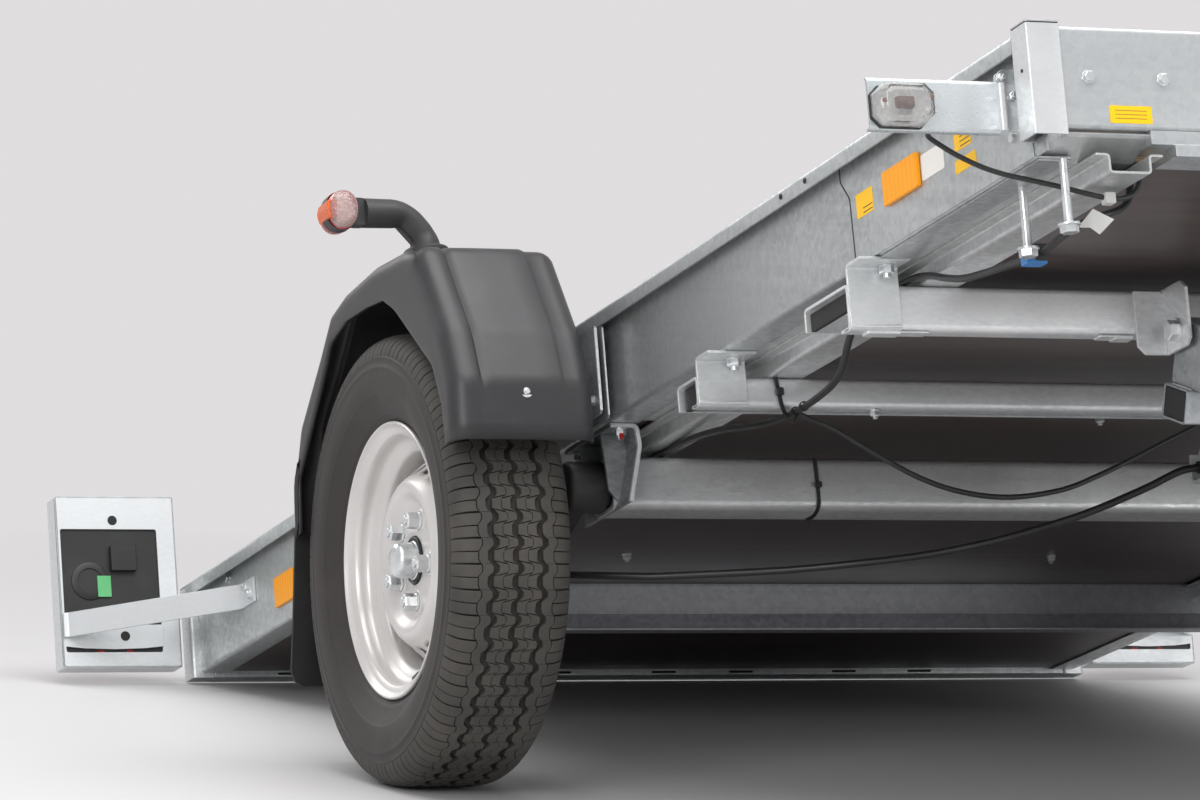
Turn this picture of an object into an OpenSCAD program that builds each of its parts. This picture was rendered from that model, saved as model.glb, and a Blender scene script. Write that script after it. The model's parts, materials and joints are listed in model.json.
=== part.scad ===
// Single-axle tipping trailer, shown with the bed tipped back until its rear end rests on the ground.
// The bed is laid out level: y runs rearwards from the wheel axis and z upwards from it.
// Each side is laid out with x inwards from the outer face of its rail, then turned to the right or left.

/* [Bed] */
// Length of the side rails
bed_l = 3000; // [2600:20:3600]
// Width over the side rails
bed_w = 1540; // [1300:20:1800]
// Length of the rails behind the wheel axis
rear_l = 1484; // [1400:4:1560]
// Angle at which the bed is tipped
tip_a = 16.2; // [14:0.1:17]
// Thickness of the plywood floor
floor_t = 15; // [9:1:21]

/* [Side rails] */
// Height of the side rails
rail_h = 140; // [120:5:180]
// Height of the rails' lower edge above the wheel axis
rail_z = 130; // [130:2:150]
// Thickness of the folded sheet
sheet_t = 3; // [2:0.5:4]
// Width of the overhang along the top of the rail
lip_w = 18; // [12:1:24]
// Height of the lip that hangs from the overhang
lip_h = 22; // [15:1:30]
// Width of the bottom flange, inwards from the web
flange_w = 44; // [36:1:60]
// Width of the corner posts
post_w = 42; // [36:1:60]
// Depth of the corner posts
post_d = 40; // [30:1:60]
// Height of the front posts above the rails
post_rise = 7; // [0:1:12]

/* [Underframe] */
// Width of the two lengthwise hat sections under the floor, without their flanges
hat_w = 50; // [40:1:60]
// Depth of the hat sections
hat_h = 26; // [20:1:26]
// Distance of the front cross beam ahead of the wheel axis
front_beam_y = 1050; // [950:10:1100]
// Depth of the front cross beam, front to back
front_beam_d = 125; // [90:5:140]
// Height of the front cross beam's front face
front_beam_h = 55; // [50:1:60]
// Distance of the second cross beam ahead of the wheel axis
second_beam_y = 593; // [500:10:700]
// Depth of the second cross beam, front to back
second_beam_d = 63; // [50:1:90]
// Height of the second cross beam's front face
second_beam_h = 38; // [30:1:50]
// Distance of the rear bearer behind the wheel axis
bearer_y = 780; // [700:10:900]
// Length of the slots in the rear beam
slot_l = 42; // [20:1:60]
// Height of the slots in the rear beam
slot_h = 9; // [6:1:12]
// Thickness of beams and cleats
plate_t = 4; // [3:0.5:5]

/* [Axle and wheels] */
// Outer radius of the tyre
tyre_r = 297; // [280:1:300]
// Section width of the tyre
tyre_w = 167; // [155:1:175]
// Radius of the rim flange
rim_r = 182; // [175:1:190]
// Width of the rim over its flanges
rim_w = 127; // [115:1:130]
// Distance from the rail's outer face out to the rim's outer flange
wheel_gap = 200; // [200:1:220]
// Side of the square axle tube
axle_s = 70; // [60:1:76]
// Distance of the axle tube ahead of the wheel axis
arm_y = 165; // [150:1:180]
// Height of the axle tube above the wheel axis
arm_z = 62; // [55:1:70]
// Radius of the circle that the wheel nuts stand on
nut_circle_r = 56; // [50:1:60]

/* [Mudguard] */
// Width of the mudguard
guard_w = 195; // [185:1:205]
// Overhang of the mudguard beyond the rim's outer flange
guard_out = 30; // [26:1:40]
// Thickness of the moulded mudguard
guard_t = 4; // [3:0.5:6]
// Length of the mudflap
flap_l = 265; // [200:5:280]

/* [Drawbar] */
// Distance from the pivot to the ball centre
drawbar_l = 1900; // [1700:20:2100]
// Downward slope of the drawbar towards its coupling
drawbar_a = 6.8; // [6:0.1:8]
// Height of the drawbar's arms
arm_h = 80; // [70:1:90]
// Width of the drawbar's arms
arm_w = 50; // [40:1:52]
// Distance of each pivot in from the rail's outer face
pivot_x = 440; // [400:5:480]
// Diameter of the pivot bolts
pivot_d = 16; // [14:1:20]
// Diameter of the coupling's ball
ball_d = 50; // [45:1:52]

/* [Hidden] */
SIDES = ["right", "left"];
PAIRS = ["side_rail", "front_post", "rear_post", "hat_section", "swing_arm", "mudguard", "mudflap",
    "rear_lamp_carrier", "tyre", "rim", "hub", "drawbar_arm", "brake_cable", "front_lamp_lead"];
SINGLES = ["front_board", "front_profile", "floor_panel", "front_cross_beam", "second_cross_beam", "rear_bearer",
    "rear_beam", "beam_cleats", "pivot_brackets", "pivot_bolts", "axle_beam", "axle_brackets", "brake_plates",
    "guard_plates", "lamp_arms", "marker_lamps", "front_lamp_brackets", "front_lamps", "rear_lamps",
    "corner_bolts", "cable_bracket", "light_cable", "wiring_harness", "drawbar_cross_tube", "drawbar_nose",
    "drawbar_gusset", "coupling_head", "coupling_lever", "jockey_clamp", "jockey_leg", "jockey_wheel"];
$fn = 64;

galvanised = "silver";
hot_dip = "lightgray";
moulded = [0.08, 0.08, 0.08];
plywood = [0.24, 0.18, 0.16];
lens = [0.9, 0.92, 0.95];

rail_top = rail_z + rail_h;
front_y = bed_l - rear_l;
post_z0 = rail_z + 17;
post_z1 = rail_top + post_rise;
floor_z = rail_z + sheet_t;
beam_z = floor_z - hat_h;
web_x = lip_w + sheet_t;
rim_x = -wheel_gap;
hub_z = tyre_r;
ground_gap = 1;
foot_z = (ground_gap - hub_z + rear_l * sin(tip_a)) / cos(tip_a);
guard_x0 = rim_x - guard_out;
guard_x1 = guard_x0 + guard_w;
rail_end = rear_l - post_d;
floor_top = floor_z + floor_t;
stub_r = 15;
plate_x = -34;
pivot_y = front_beam_y + 32;
pivot_z = 50;
running = 0.1;
arm_top = 14;
arm_gap = 5;
nose_w = 80;
carrier_z1 = 408;
jockey_r = 100;
jockey_y = drawbar_l - 330;
jockey_x = nose_w / 2 + 33;

// Ends of the whole trailer along its length, measured from the wheel axis, for its place on the ground.
pivot_world_y = -pivot_y * cos(tip_a) + pivot_z * sin(tip_a);
pivot_world_z = hub_z + pivot_y * sin(tip_a) + pivot_z * cos(tip_a);
head_tip = 62;
head_top = arm_h / 2 - 6;
head_low = 30;
front_end = pivot_world_y - (drawbar_l + head_tip) * cos(drawbar_a) - (arm_top - arm_h / 2) * sin(drawbar_a);
rear_end = rear_l * cos(tip_a) + carrier_z1 * sin(tip_a);
mid_y = (front_end + rear_end) / 2;

// The drawbar's layout, with y rearwards and z upwards from its pivot.
arm_z0 = arm_top - arm_h;
bend_y = 130;
arm_end_y = drawbar_l - 400;

// Height of the jockey wheel's centre on the drawbar, so that it stands on the ground.
jockey_z = (jockey_r - pivot_world_z + jockey_y * sin(drawbar_a)) / cos(drawbar_a);

// Outline of the mudguard, seen from the side, from its rear edge over the top to its front edge.
guard_line = [
    [292, 95], [283, 170], [244, 240], [150, 314], [97, 360], [38, 373], [-75, 379], [-196, 371], [-244, 360],
    [-322, 232], [-345, 160], [-340, 84]
];
guard_opening = [
    [266, 94], [258, 165], [150, 262], [97, 315], [30, 329], [-114, 326], [-220, 245], [-276, 189], [-296, 136],
    [-300, 84]
];

// Bends of the marker lamp's arm, as x and z, and its place along the bed.
lamp_arm_line = [[-178, 376], [-205, 428], [-285, 428]];
lamp_arm_y = -150;

// Routes of the cables on one side, as x, y and z in the bed's layout.
light_route = [
    [128, -583, 69], [134, -583, 64], [142, -583, 60], [154, -583, 55], [178, -583, 46], [230, -583, 16],
    [290, -583, -16], [350, -583, -35], [417, -583, -41], [489, -583, -31], [540, -583, -13], [591, -583, 9],
    [640, -583, 32], [680, -583, 50], [700, -583, 58], [710, -583, 63], [718, -583, 69]
];
harness_route = [
    [168, -1446, 133], [168, -1446, 122], [166, -1447, 111], [160, -1450, 101], [151, -1454, 93],
    [140, -1459, 88], [127, -1464, 83], [114, -1465, 79], [102, -1462, 75], [92, -1454, 70], [84, -1443, 65],
    [79, -1428, 60], [78, -1402, 57], [78, -1355, 59], [78, -1300, 65], [78, -1245, 71], [78, -1190, 79],
    [78, -1145, 91], [78, -1105, 104], [78, -1065, 112], [79, -1025, 114], [80, -985, 114], [81, -945, 114],
    [81, -912, 112], [82, -880, 103], [87, -845, 87], [97, -805, 71], [105, -760, 61], [110, -700, 57],
    [118, -620, 59], [120, -540, 64], [119, -460, 76], [117, -380, 90], [116, -300, 99], [116, -220, 102.5],
    [116, 0, 102.5], [116, 400, 102.5], [116, 780, 102.5]
];
brake_route = [
    [-28, -64, -32], [-14, -64, -32], [3, -67, -33], [20, -75, -35], [39, -88, -38], [61, -104, -42],
    [86, -121, -46], [112, -138, -50], [164, -170, -54], [255, -220, -59], [333, -270, -61], [429, -310, -56],
    [512, -350, -45], [586, -380, -28], [636, -400, -13], [694, -425, 9], [732, -444, 26], [758, -450, 31]
];
lamp_route = [
    [-91, -1489, 167], [-91, -1482, 167], [-90, -1474, 167], [-86, -1466, 166], [-79, -1460, 164],
    [-70, -1457, 160], [-48, -1456, 148], [-20, -1460, 134], [5, -1467, 124], [32, -1475, 116],
    [60, -1480, 109], [92, -1483, 101], [115, -1482, 97], [130, -1481, 96], [143, -1480, 98], [154, -1478, 103],
    [161, -1477, 111], [165, -1476, 122], [165, -1476, 133]
];
light_d = 7;
harness_d = 9;
brake_d = 10;
lead_d = 6;

// Offsets of a bent line of points, for folded sheet and bent tubes.
function unit(v) = v / norm(v);
function side_of(a, b) = let (d = unit(b - a)) [d[1], -d[0]];
function shifted(p, i, h) =
    i == 0 ? p[0] + h * side_of(p[0], p[1])
    : i == len(p) - 1 ? p[i] + h * side_of(p[i - 1], p[i])
    : let (m = unit(side_of(p[i - 1], p[i]) + side_of(p[i], p[i + 1])))
        p[i] + m * h / (m * side_of(p[i], p[i + 1]));
function fold(p, t) = concat(p, [for (i = [len(p) - 1 : -1 : 0]) shifted(p, i, t)]);
function ribbon(p, w) = fold([for (i = [0 : len(p) - 1]) shifted(p, i, -w / 2)], w);

// Places a piece of the bed, laid out level, in the tipped bed.
module bed_place() {
    translate([0, -mid_y, hub_z]) rotate([-tip_a, 0, 0]) children();
}

// Places a piece of the drawbar, laid out level from its pivot.
module drawbar_place() {
    translate([0, pivot_world_y - mid_y, pivot_world_z]) rotate([drawbar_a, 0, 0]) children();
}

// Turns a piece laid out from the rail's outer face to the right or left side.
module on_side(s) {
    mirror([s == "left" ? 1 : 0, 0, 0]) translate([-bed_w / 2, 0, 0]) children();
}

// Extrudes an outline of x and z along the bed, from y0 to y1.
module along_y(y0, y1) {
    translate([0, y1, 0]) rotate([90, 0, 0]) linear_extrude(y1 - y0) children();
}

// Extrudes an outline of y and z across the bed, from x0 to x1.
module along_x(x0, x1) {
    translate([x0, 0, 0]) rotate([90, 0, 90]) linear_extrude(x1 - x0) children();
}

// A box between two corners.
module block(a, b) {
    translate(a) cube(b - a);
}

// A cylinder across the bed, from x0 to x1, about a point of y and z.
module disc(x0, x1, r, y = 0, z = 0) {
    translate([x0, y, z]) rotate([0, 90, 0]) cylinder(h = x1 - x0, r = r);
}

// A round rod between two points.
module rod(a, b, r) {
    d = b - a;
    translate(a) rotate([0, acos(d[2] / norm(d)), atan2(d[1], d[0])]) cylinder(h = norm(d), r = r);
}

module side_rail() {
    color(galvanised) along_y(-front_y, rail_end) polygon(fold([
        [0, rail_top - lip_h],
        [0, rail_top],
        [web_x, rail_top],
        [web_x, floor_z],
        [lip_w + flange_w, floor_z]
    ], sheet_t));
}

module front_post() {
    y0 = -front_y - post_d;
    color(galvanised) difference() {
        block([0, y0, post_z0], [post_w, -front_y, post_z1]);
        block([sheet_t, y0 + sheet_t, post_z0 - 1], [post_w - sheet_t, -front_y - sheet_t, post_z1 - sheet_t]);
    }
}

module rear_post() {
    color(galvanised) difference() {
        block([4, rail_end, foot_z], [post_w, rear_l, rail_top]);
        block([4 + sheet_t, rail_end + sheet_t, foot_z + sheet_t], [post_w - sheet_t, rear_l + 1, rail_top - sheet_t]);
    }
}

module hat_section() {
    x0 = 92;
    x1 = x0 + hat_w + sheet_t;
    hat_flange = 15;
    color(galvanised) along_y(-front_y - post_d + 11, bearer_y) polygon(fold([
        [x0 - hat_flange, rail_z],
        [x0 + sheet_t, rail_z],
        [x0 + sheet_t, beam_z + sheet_t],
        [x1 - sheet_t, beam_z + sheet_t],
        [x1 - sheet_t, rail_z],
        [x1 + hat_flange, rail_z]
    ], sheet_t));
}

module front_board() {
    board_d = 25;
    y0 = -front_y - post_d + 6;
    z0 = post_z0 + 9;
    z1 = post_z1 - 3;
    color(galvanised) along_x(-bed_w / 2 + post_w, bed_w / 2 - post_w) polygon(fold([
        [y0 + board_d, z0],
        [y0, z0],
        [y0, z1],
        [y0 + board_d, z1]
    ], sheet_t));
}

module front_profile() {
    y0 = -front_y - post_d + 6;
    z_top = post_z0 + 9;
    z_step = z_top - 16;
    z_low = floor_z - sheet_t - 4;
    half_top = bed_w / 2 - 145;
    half_low = half_top - 27;
    color(galvanised) union() {
        along_x(-half_top, half_top) polygon([
            [y0, z_step], [y0, z_top], [y0 + 25, z_top], [-front_y + 16, floor_top],
            [-front_y + 16, z_step]
        ]);
        along_x(-half_low, half_low) polygon([
            [y0 - 4, z_low], [y0 - 4, z_step], [-front_y + 16, z_step], [-front_y + 16, z_low]
        ]);
    }
}

module floor_panel() {
    half = bed_w / 2 - web_x - 1;
    color(plywood) block([-half, -front_y + 16, floor_z], [half, rail_end, floor_top]);
}

// A cross beam of folded plate, open below, with a flange along its front bottom edge.
module cross_beam(y, d, h, back_h, flange) {
    color(hot_dip) along_x(-bed_w / 2 - 5, bed_w / 2 + 5) polygon(fold([
        [-y + flange, beam_z - h],
        [-y, beam_z - h],
        [-y, beam_z],
        [-y + d, beam_z],
        [-y + d, beam_z - back_h]
    ], plate_t));
}

module front_cross_beam() {
    cross_beam(front_beam_y, front_beam_d, front_beam_h, 29, 25);
}

module second_cross_beam() {
    cross_beam(second_beam_y, second_beam_d, second_beam_h, 32, 20);
}

// Folded cleats that carry the cross beams' ends below the rails' flanges.
module cleat(y, h) {
    block([-5, -y - plate_t, beam_z - h + 4], [60, -y, rail_z]);
    block([-5, -y - 42, rail_z - plate_t], [lip_w + flange_w, -y, rail_z]);
}

module beam_cleats() {
    color(galvanised) for (s = SIDES) on_side(s) {
        cleat(front_beam_y, front_beam_h);
        cleat(second_beam_y, second_beam_h);
    }
}

module rear_bearer() {
    half = bed_w / 2 - lip_w - flange_w;
    color(galvanised) along_x(-half, half) polygon(fold([
        [bearer_y + 160, floor_z],
        [bearer_y + 160, rail_z - 40],
        [bearer_y, rail_z - 40],
        [bearer_y, floor_z]
    ], sheet_t));
}

// Slots stand in pairs along the rear beam.
module rear_beam() {
    pair_pitch = 314;
    pair_gap = 134;
    half = bed_w / 2 - post_w;
    z = (foot_z + floor_top) / 2;
    color(galvanised) difference() {
        along_x(-half, half) polygon(fold([
            [rear_l, foot_z],
            [rail_end, foot_z],
            [rail_end, floor_top],
            [rear_l, floor_top]
        ], sheet_t));
        for (i = [-2 : 1], e = [0, pair_gap])
            block(
                [i * pair_pitch + e, rail_end - 1, z - slot_h / 2],
                [i * pair_pitch + e + slot_l, rail_end + sheet_t + 1, z + slot_h / 2]
            );
    }
}

// Pivot brackets on the front beam: two plates a side, with flanges against the beam's face.
module pivot_plate(x0) {
    t = 5;
    along_x(x0, x0 + t) difference() {
        polygon([
            [-front_beam_y, beam_z], [-front_beam_y - 50, beam_z], [-front_beam_y - 62, beam_z - 10],
            [-front_beam_y - 62, pivot_z - 15], [-front_beam_y - 52, pivot_z - 23],
            [-front_beam_y, pivot_z - 23]
        ]);
        translate([-pivot_y, pivot_z]) circle(r = pivot_d / 2 + running);
    }
}

module pivot_brackets() {
    t = 5;
    gap = arm_w + 2 * arm_gap;
    x_out = pivot_x - gap / 2 - t;
    x_in = pivot_x + gap / 2;
    color(hot_dip) for (s = SIDES) on_side(s) {
        pivot_plate(x_out);
        pivot_plate(x_in);
        along_y(-front_beam_y - t, -front_beam_y) polygon([
            [x_out - 38, beam_z - 2], [x_out, beam_z - 2], [x_out, pivot_z - 23], [x_out - 28, pivot_z - 23],
            [x_out - 38, pivot_z - 13]
        ]);
        block([x_in + t, -front_beam_y - t, pivot_z - 13], [x_in + t + 30, -front_beam_y, beam_z - 2]);
    }
}

module pivot_bolts() {
    grip = arm_w + 2 * arm_gap + 10;
    head = 10;
    color(galvanised) for (s = SIDES) on_side(s) {
        disc(pivot_x - grip / 2, pivot_x + grip / 2 + head + 6, pivot_d / 2, -pivot_y, pivot_z);
        for (x = [pivot_x - grip / 2 - head, pivot_x + grip / 2])
            translate([x, -pivot_y, pivot_z]) rotate([0, 90, 0])
                cylinder(h = head, d = pivot_d * 1.7, $fn = 6);
    }
}

module axle_beam() {
    wall = 5;
    half = bed_w / 2 - 38;
    s = axle_s / 2;
    color(hot_dip) translate([0, -arm_y, arm_z]) difference() {
        block([-half, -s, -s], [half, s, s]);
        block([-half - 1, -s + wall, -s + wall], [half + 1, s - wall, s - wall]);
    }
}

module axle_brackets() {
    t = 6;
    y0 = -arm_y - axle_s / 2;
    z1 = arm_z + axle_s / 2;
    color(hot_dip) for (s = SIDES) on_side(s) {
        for (y = [y0 - t, y0 + axle_s]) along_y(y, y + t) polygon([
            [22, rail_z - t], [lip_w + flange_w, rail_z - t], [lip_w + flange_w, z1 - 18], [46, 27], [38, 27],
            [22, 60]
        ]);
        block([22, y0 - 45, rail_z - t], [lip_w + flange_w, y0 + axle_s + 45, rail_z]);
        block([38, y0, z1], [44, y0 + axle_s, rail_z - t]);
    }
}

module swing_arm() {
    x0 = -20;
    x1 = 38;
    reach = norm([arm_y, arm_z]);
    color(moulded) {
        disc(x0, x1, 34, -arm_y, arm_z);
        disc(x0 - 8, x1 - 22, 27);
        translate([0, -arm_y, arm_z]) rotate([-atan(arm_z / arm_y), 0, 0])
            block([x0 + 2, 0, -22], [x1 - 25, reach, 22]);
        disc(rim_x + 90, x0 - 8, stub_r);
    }
}

module brake_plates() {
    color(moulded) for (s = SIDES) on_side(s) difference() {
        disc(plate_x, plate_x + 6, 104);
        disc(plate_x - 1, plate_x + 7, 27.5);
    }
}

module mudguard() {
    inner_h = 28;
    color(moulded) {
        along_x(guard_x0, guard_x1) polygon(fold([for (i = [len(guard_line) - 1 : -1 : 0]) guard_line[i]], guard_t));
        along_x(guard_x0, guard_x0 + guard_t) polygon(concat(
            guard_line, [for (i = [len(guard_opening) - 1 : -1 : 0]) guard_opening[i]]
        ));
        along_x(guard_x1 - guard_t, guard_x1)
            polygon(fold([for (i = [len(guard_line) - 1 : -1 : 0]) guard_line[i]], inner_h));
    }
}

// Plates that tie the mudguard's inner edge to the rail, ahead of the wheel and behind it.
module guard_plates() {
    t = 6;
    color(galvanised) for (s = SIDES) on_side(s) {
        along_y(-296, -296 + t) polygon([
            [guard_x1, 236], [guard_x1, rail_top - 4], [0, rail_top - 4], [0, rail_top - lip_h - 2],
            [lip_w, rail_top - lip_h - 2], [lip_w, rail_z + 4]
        ]);
        along_y(250, 250 + t) polygon([
            [guard_x1, 180], [guard_x1, 216], [0, 236], [lip_w, 236], [lip_w, rail_z + 4]
        ]);
    }
}

module mudflap() {
    t = 5;
    knee = guard_line[0];
    top = knee + unit(guard_line[1] - knee) * 62;
    foot = knee + (flap_l - 62) * [sin(tip_a), -cos(tip_a)];
    color(moulded) along_x(guard_x0 + 4, guard_x1 - 4) polygon(fold([foot, knee, top], t));
}

module lamp_arms() {
    r = 17;
    p = [for (q = lamp_arm_line) [q[0], lamp_arm_y, q[1]]];
    color(moulded) for (s = SIDES) on_side(s) {
        translate(p[0]) cylinder(h = 8, r = 26);
        translate(p[0]) cylinder(h = 16, r = r + 3);
        rod(p[0] + [0, 0, 14], p[1], r);
        translate(p[1]) sphere(r = r + 1);
        rod(p[1], p[2], r);
    }
}

module marker_lamps() {
    p = lamp_arm_line[2];
    color(lens) for (s = SIDES) on_side(s) translate([p[0], lamp_arm_y, p[1]]) block([-34, -30, -26], [0, 30, 28]);
}

module front_lamp_brackets() {
    y0 = -front_y + 24;
    z0 = rail_z + 26;
    z1 = z0 + 66;
    color(galvanised) for (s = SIDES) on_side(s) {
        block([-175, y0, z0], [lip_w, y0 + sheet_t, z1]);
        block([lip_w - sheet_t, y0, z0], [lip_w, y0 + 42, z1]);
        block([-175, y0, z1 - sheet_t], [-12, y0 + 24, z1]);
    }
}

module front_lamps() {
    y0 = -front_y + 24;
    z0 = rail_z + 30;
    color(lens) for (s = SIDES) on_side(s) block([-173, y0 - 34, z0], [-98, y0, z0 + 54]);
}

// Frame of folded sheet around the rear lamp, on a stay from the rail.
module rear_lamp_carrier() {
    x0 = -203;
    x1 = -12;
    y0 = rear_l - 40;
    z0 = 139;
    y_rail = rear_l - 210;
    stay_h = 52;
    color(galvanised) {
        difference() {
            block([x0, y0, z0], [x1, rear_l, carrier_z1]);
            block([x0 + sheet_t, y0 + sheet_t, z0 + sheet_t], [x1 - sheet_t, rear_l + 1, carrier_z1 - sheet_t]);
            block([x0 + 18, y0 - 1, z0 + 34], [x1 - 18, rear_l, carrier_z1 - 52]);
        }
        translate([0, 0, z0 + 39]) linear_extrude(stay_h) polygon(fold([
            [x0 + 7, y0], [x1 - 48, y0], [lip_w, y_rail], [lip_w, y_rail - 46]
        ], plate_t));
    }
}

module rear_lamps() {
    color("firebrick") for (s = SIDES) on_side(s) block([-186, rear_l - 36, 178], [-29, rear_l - 1, 352]);
}

module corner_bolts() {
    color(galvanised) for (s = SIDES) on_side(s) for (y = [-front_y + 2, -front_y + 106]) {
        translate([52, y, rail_z - 90]) cylinder(h = 90, d = 10);
        translate([52, y, rail_z - 98]) cylinder(h = 8, d = 18, $fn = 6);
    }
}

// Section of the tyre, from the outer bead to the inner one.
module tyre() {
    xc = rim_x + rim_w / 2;
    h = tyre_w / 2;
    bead = rim_w / 2 - 10;
    color(moulded) translate([xc, 0, 0]) rotate([0, 90, 0]) rotate_extrude($fn = 128) polygon([
        [rim_r - 16, -bead], [rim_r + 4, -bead - 3], [rim_r + 30, -h + 3], [rim_r + 55, -h], [tyre_r - 30, -h + 4],
        [tyre_r - 10, -h + 14], [tyre_r - 3, -h + 24], [tyre_r, -h + 44],
        [tyre_r, h - 44], [tyre_r - 3, h - 24], [tyre_r - 10, h - 14], [tyre_r - 30, h - 4],
        [rim_r + 55, h], [rim_r + 30, h - 3], [rim_r + 4, bead + 3], [rim_r - 16, bead],
        [rim_r - 16, bead - 14], [rim_r + 20, h - 14], [tyre_r - 40, h - 18], [tyre_r - 16, h - 44],
        [tyre_r - 16, -h + 44], [tyre_r - 40, -h + 18], [rim_r + 20, -h + 14], [rim_r - 16, -bead + 14]
    ]);
}

// Section of the steel rim and its dished disc; the disc's face lies inside the outer flange.
module rim() {
    t = 4;
    well_r = rim_r - 40;
    seat_r = rim_r - 17;
    face = 33;
    vents = 10;
    color("silver") translate([rim_x, 0, 0]) rotate([0, 90, 0]) difference() {
        union() {
            rotate_extrude($fn = 128) polygon(fold([
                [rim_r, 0], [rim_r - 4, 3], [seat_r, 7], [seat_r, 26], [well_r, 36], [well_r, 76],
                [seat_r, 94], [seat_r, rim_w - 7], [rim_r - 4, rim_w - 3], [rim_r, rim_w]
            ], -t));
            rotate_extrude($fn = 128) polygon(fold([
                [32, face], [76, face], [88, face - 12], [106, face - 8], [well_r - 6, face + 26],
                [well_r - t, face + 40]
            ], -t));
        }
        for (i = [0 : vents - 1]) rotate([0, 0, i * 360 / vents]) translate([118, 0, 0])
            cylinder(h = 90, d = 18);
        for (i = [0 : 4]) rotate([0, 0, i * 72]) translate([-nut_circle_r, 0, 0]) cylinder(h = 60, d = 14);
    }
}

// Hub with its drum, studs, nuts and grease cap, bored for the stub axle.
module hub() {
    face = rim_x + 33 + plate_t;
    drum_x = plate_x - 5;
    core_x = drum_x - 2;
    stub_x = rim_x + 90;
    color([0.15, 0.15, 0.15]) difference() {
        union() {
            difference() {
                disc(face, drum_x, 102);
                disc(face + 8, drum_x + 1, 96);
            }
            disc(face - 16, core_x, 31.5);
        }
        disc(stub_x - 2, core_x + 1, stub_r + running);
    }
    color("gray") {
        disc(face - 30, face - 16, 26);
        for (i = [0 : 4]) rotate([i * 72, 0, 0]) {
            disc(face - 20, face, 6.5, 0, nut_circle_r);
            translate([face - 18, 0, nut_circle_r]) rotate([0, 90, 0]) cylinder(h = 14, d = 21, $fn = 6);
        }
    }
}

// The drawbar's pieces are laid out from its pivot: y runs rearwards and z upwards.
module drawbar_arm() {
    wall = 3;
    x0 = -bed_w / 2 + pivot_x;
    line = [[x0, 18], [x0, -bend_y], [-nose_w / 2 - arm_w / 2, -arm_end_y]];
    boss_r = pivot_d / 2 + 6;
    color(galvanised) difference() {
        union() {
            translate([0, 0, arm_z0]) linear_extrude(arm_h) difference() {
                polygon(ribbon(line, arm_w));
                polygon(ribbon([line[0] + [0, 1], line[1], line[2] - [0, 1]], arm_w - 2 * wall));
            }
            translate([0, 0, arm_z0]) linear_extrude(wall) polygon(ribbon(line, arm_w));
            translate([0, 0, arm_top - wall]) linear_extrude(wall) polygon(ribbon(line, arm_w));
            disc(x0 - arm_w / 2, x0 + arm_w / 2, boss_r - 1);
        }
        disc(x0 - arm_w, x0 + arm_w, pivot_d / 2 + running);
    }
}

module drawbar_cross_tube() {
    half = bed_w / 2 - pivot_x + arm_w / 2 + 6;
    wall = 3;
    tube_h = 42;
    color(galvanised) difference() {
        block([-half, -34, arm_z0 - tube_h], [half, 26, arm_z0]);
        block([-half - 1, -34 + wall, arm_z0 - tube_h + wall], [half + 1, 26 - wall, arm_z0 - wall]);
    }
}

module drawbar_nose() {
    wall = 4;
    y0 = -drawbar_l + 120;
    y1 = -arm_end_y + 60;
    color(galvanised) difference() {
        block([-nose_w / 2, y0, arm_z0], [nose_w / 2, y1, arm_top]);
        block([-nose_w / 2 + wall, y0 - 1, arm_z0 + wall], [nose_w / 2 - wall, y1 + 1, arm_top - wall]);
    }
}

module drawbar_gusset() {
    y0 = -arm_end_y - 40;
    color(galvanised) translate([0, 0, arm_z0 - 8]) linear_extrude(8) polygon([
        [-nose_w / 2, y0], [nose_w / 2, y0], [nose_w / 2 + arm_w, -arm_end_y + 20], [160, -arm_end_y + 400],
        [-160, -arm_end_y + 400], [-nose_w / 2 - arm_w, -arm_end_y + 20]
    ]);
}

module coupling_head() {
    zc = arm_top - arm_h / 2;
    color(hot_dip) difference() {
        union() {
            block([-38, -drawbar_l + 40, zc - 22], [38, -drawbar_l + 120, zc + 22]);
            block([-30, -drawbar_l + 100, arm_top], [30, -drawbar_l + 230, arm_top + 6]);
            block([-30, -drawbar_l + 60, zc + 22], [30, -drawbar_l + 120, arm_top + 6]);
            translate([0, -drawbar_l, zc - head_low]) cylinder(h = head_low + head_top, r = 42);
            block([-38, -drawbar_l, zc - 22], [38, -drawbar_l + 60, zc + head_top]);
            translate([0, -drawbar_l, zc - head_low]) block([-30, -head_tip, 0], [30, -20, head_low]);
        }
        translate([0, -drawbar_l, zc - head_low - 1]) cylinder(h = head_low + 1, d = ball_d + 1);
        translate([0, -drawbar_l, zc]) sphere(d = ball_d + 1);
    }
}

module coupling_lever() {
    zc = arm_top - arm_h / 2;
    color("black") {
        block([-15, -drawbar_l - 10, zc + head_top], [15, -drawbar_l + 50, zc + head_top + 18]);
        translate([0, -drawbar_l + 50, zc + head_top + 14]) rotate([14, 0, 0]) block([-11, 0, 0], [11, 140, 12]);
    }
}

module jockey_clamp() {
    color(hot_dip) {
        difference() {
            translate([jockey_x, -jockey_y, arm_z0 + 10]) cylinder(h = arm_h - 20, r = 32);
            translate([jockey_x, -jockey_y, arm_z0]) cylinder(h = arm_h, r = 24.1);
        }
        difference() {
            block([nose_w / 2, -jockey_y - 25, arm_z0 + 10], [nose_w / 2 + 20, -jockey_y + 25, arm_top - 10]);
            translate([jockey_x, -jockey_y, arm_z0]) cylinder(h = arm_h, r = 28);
        }
    }
}

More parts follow.
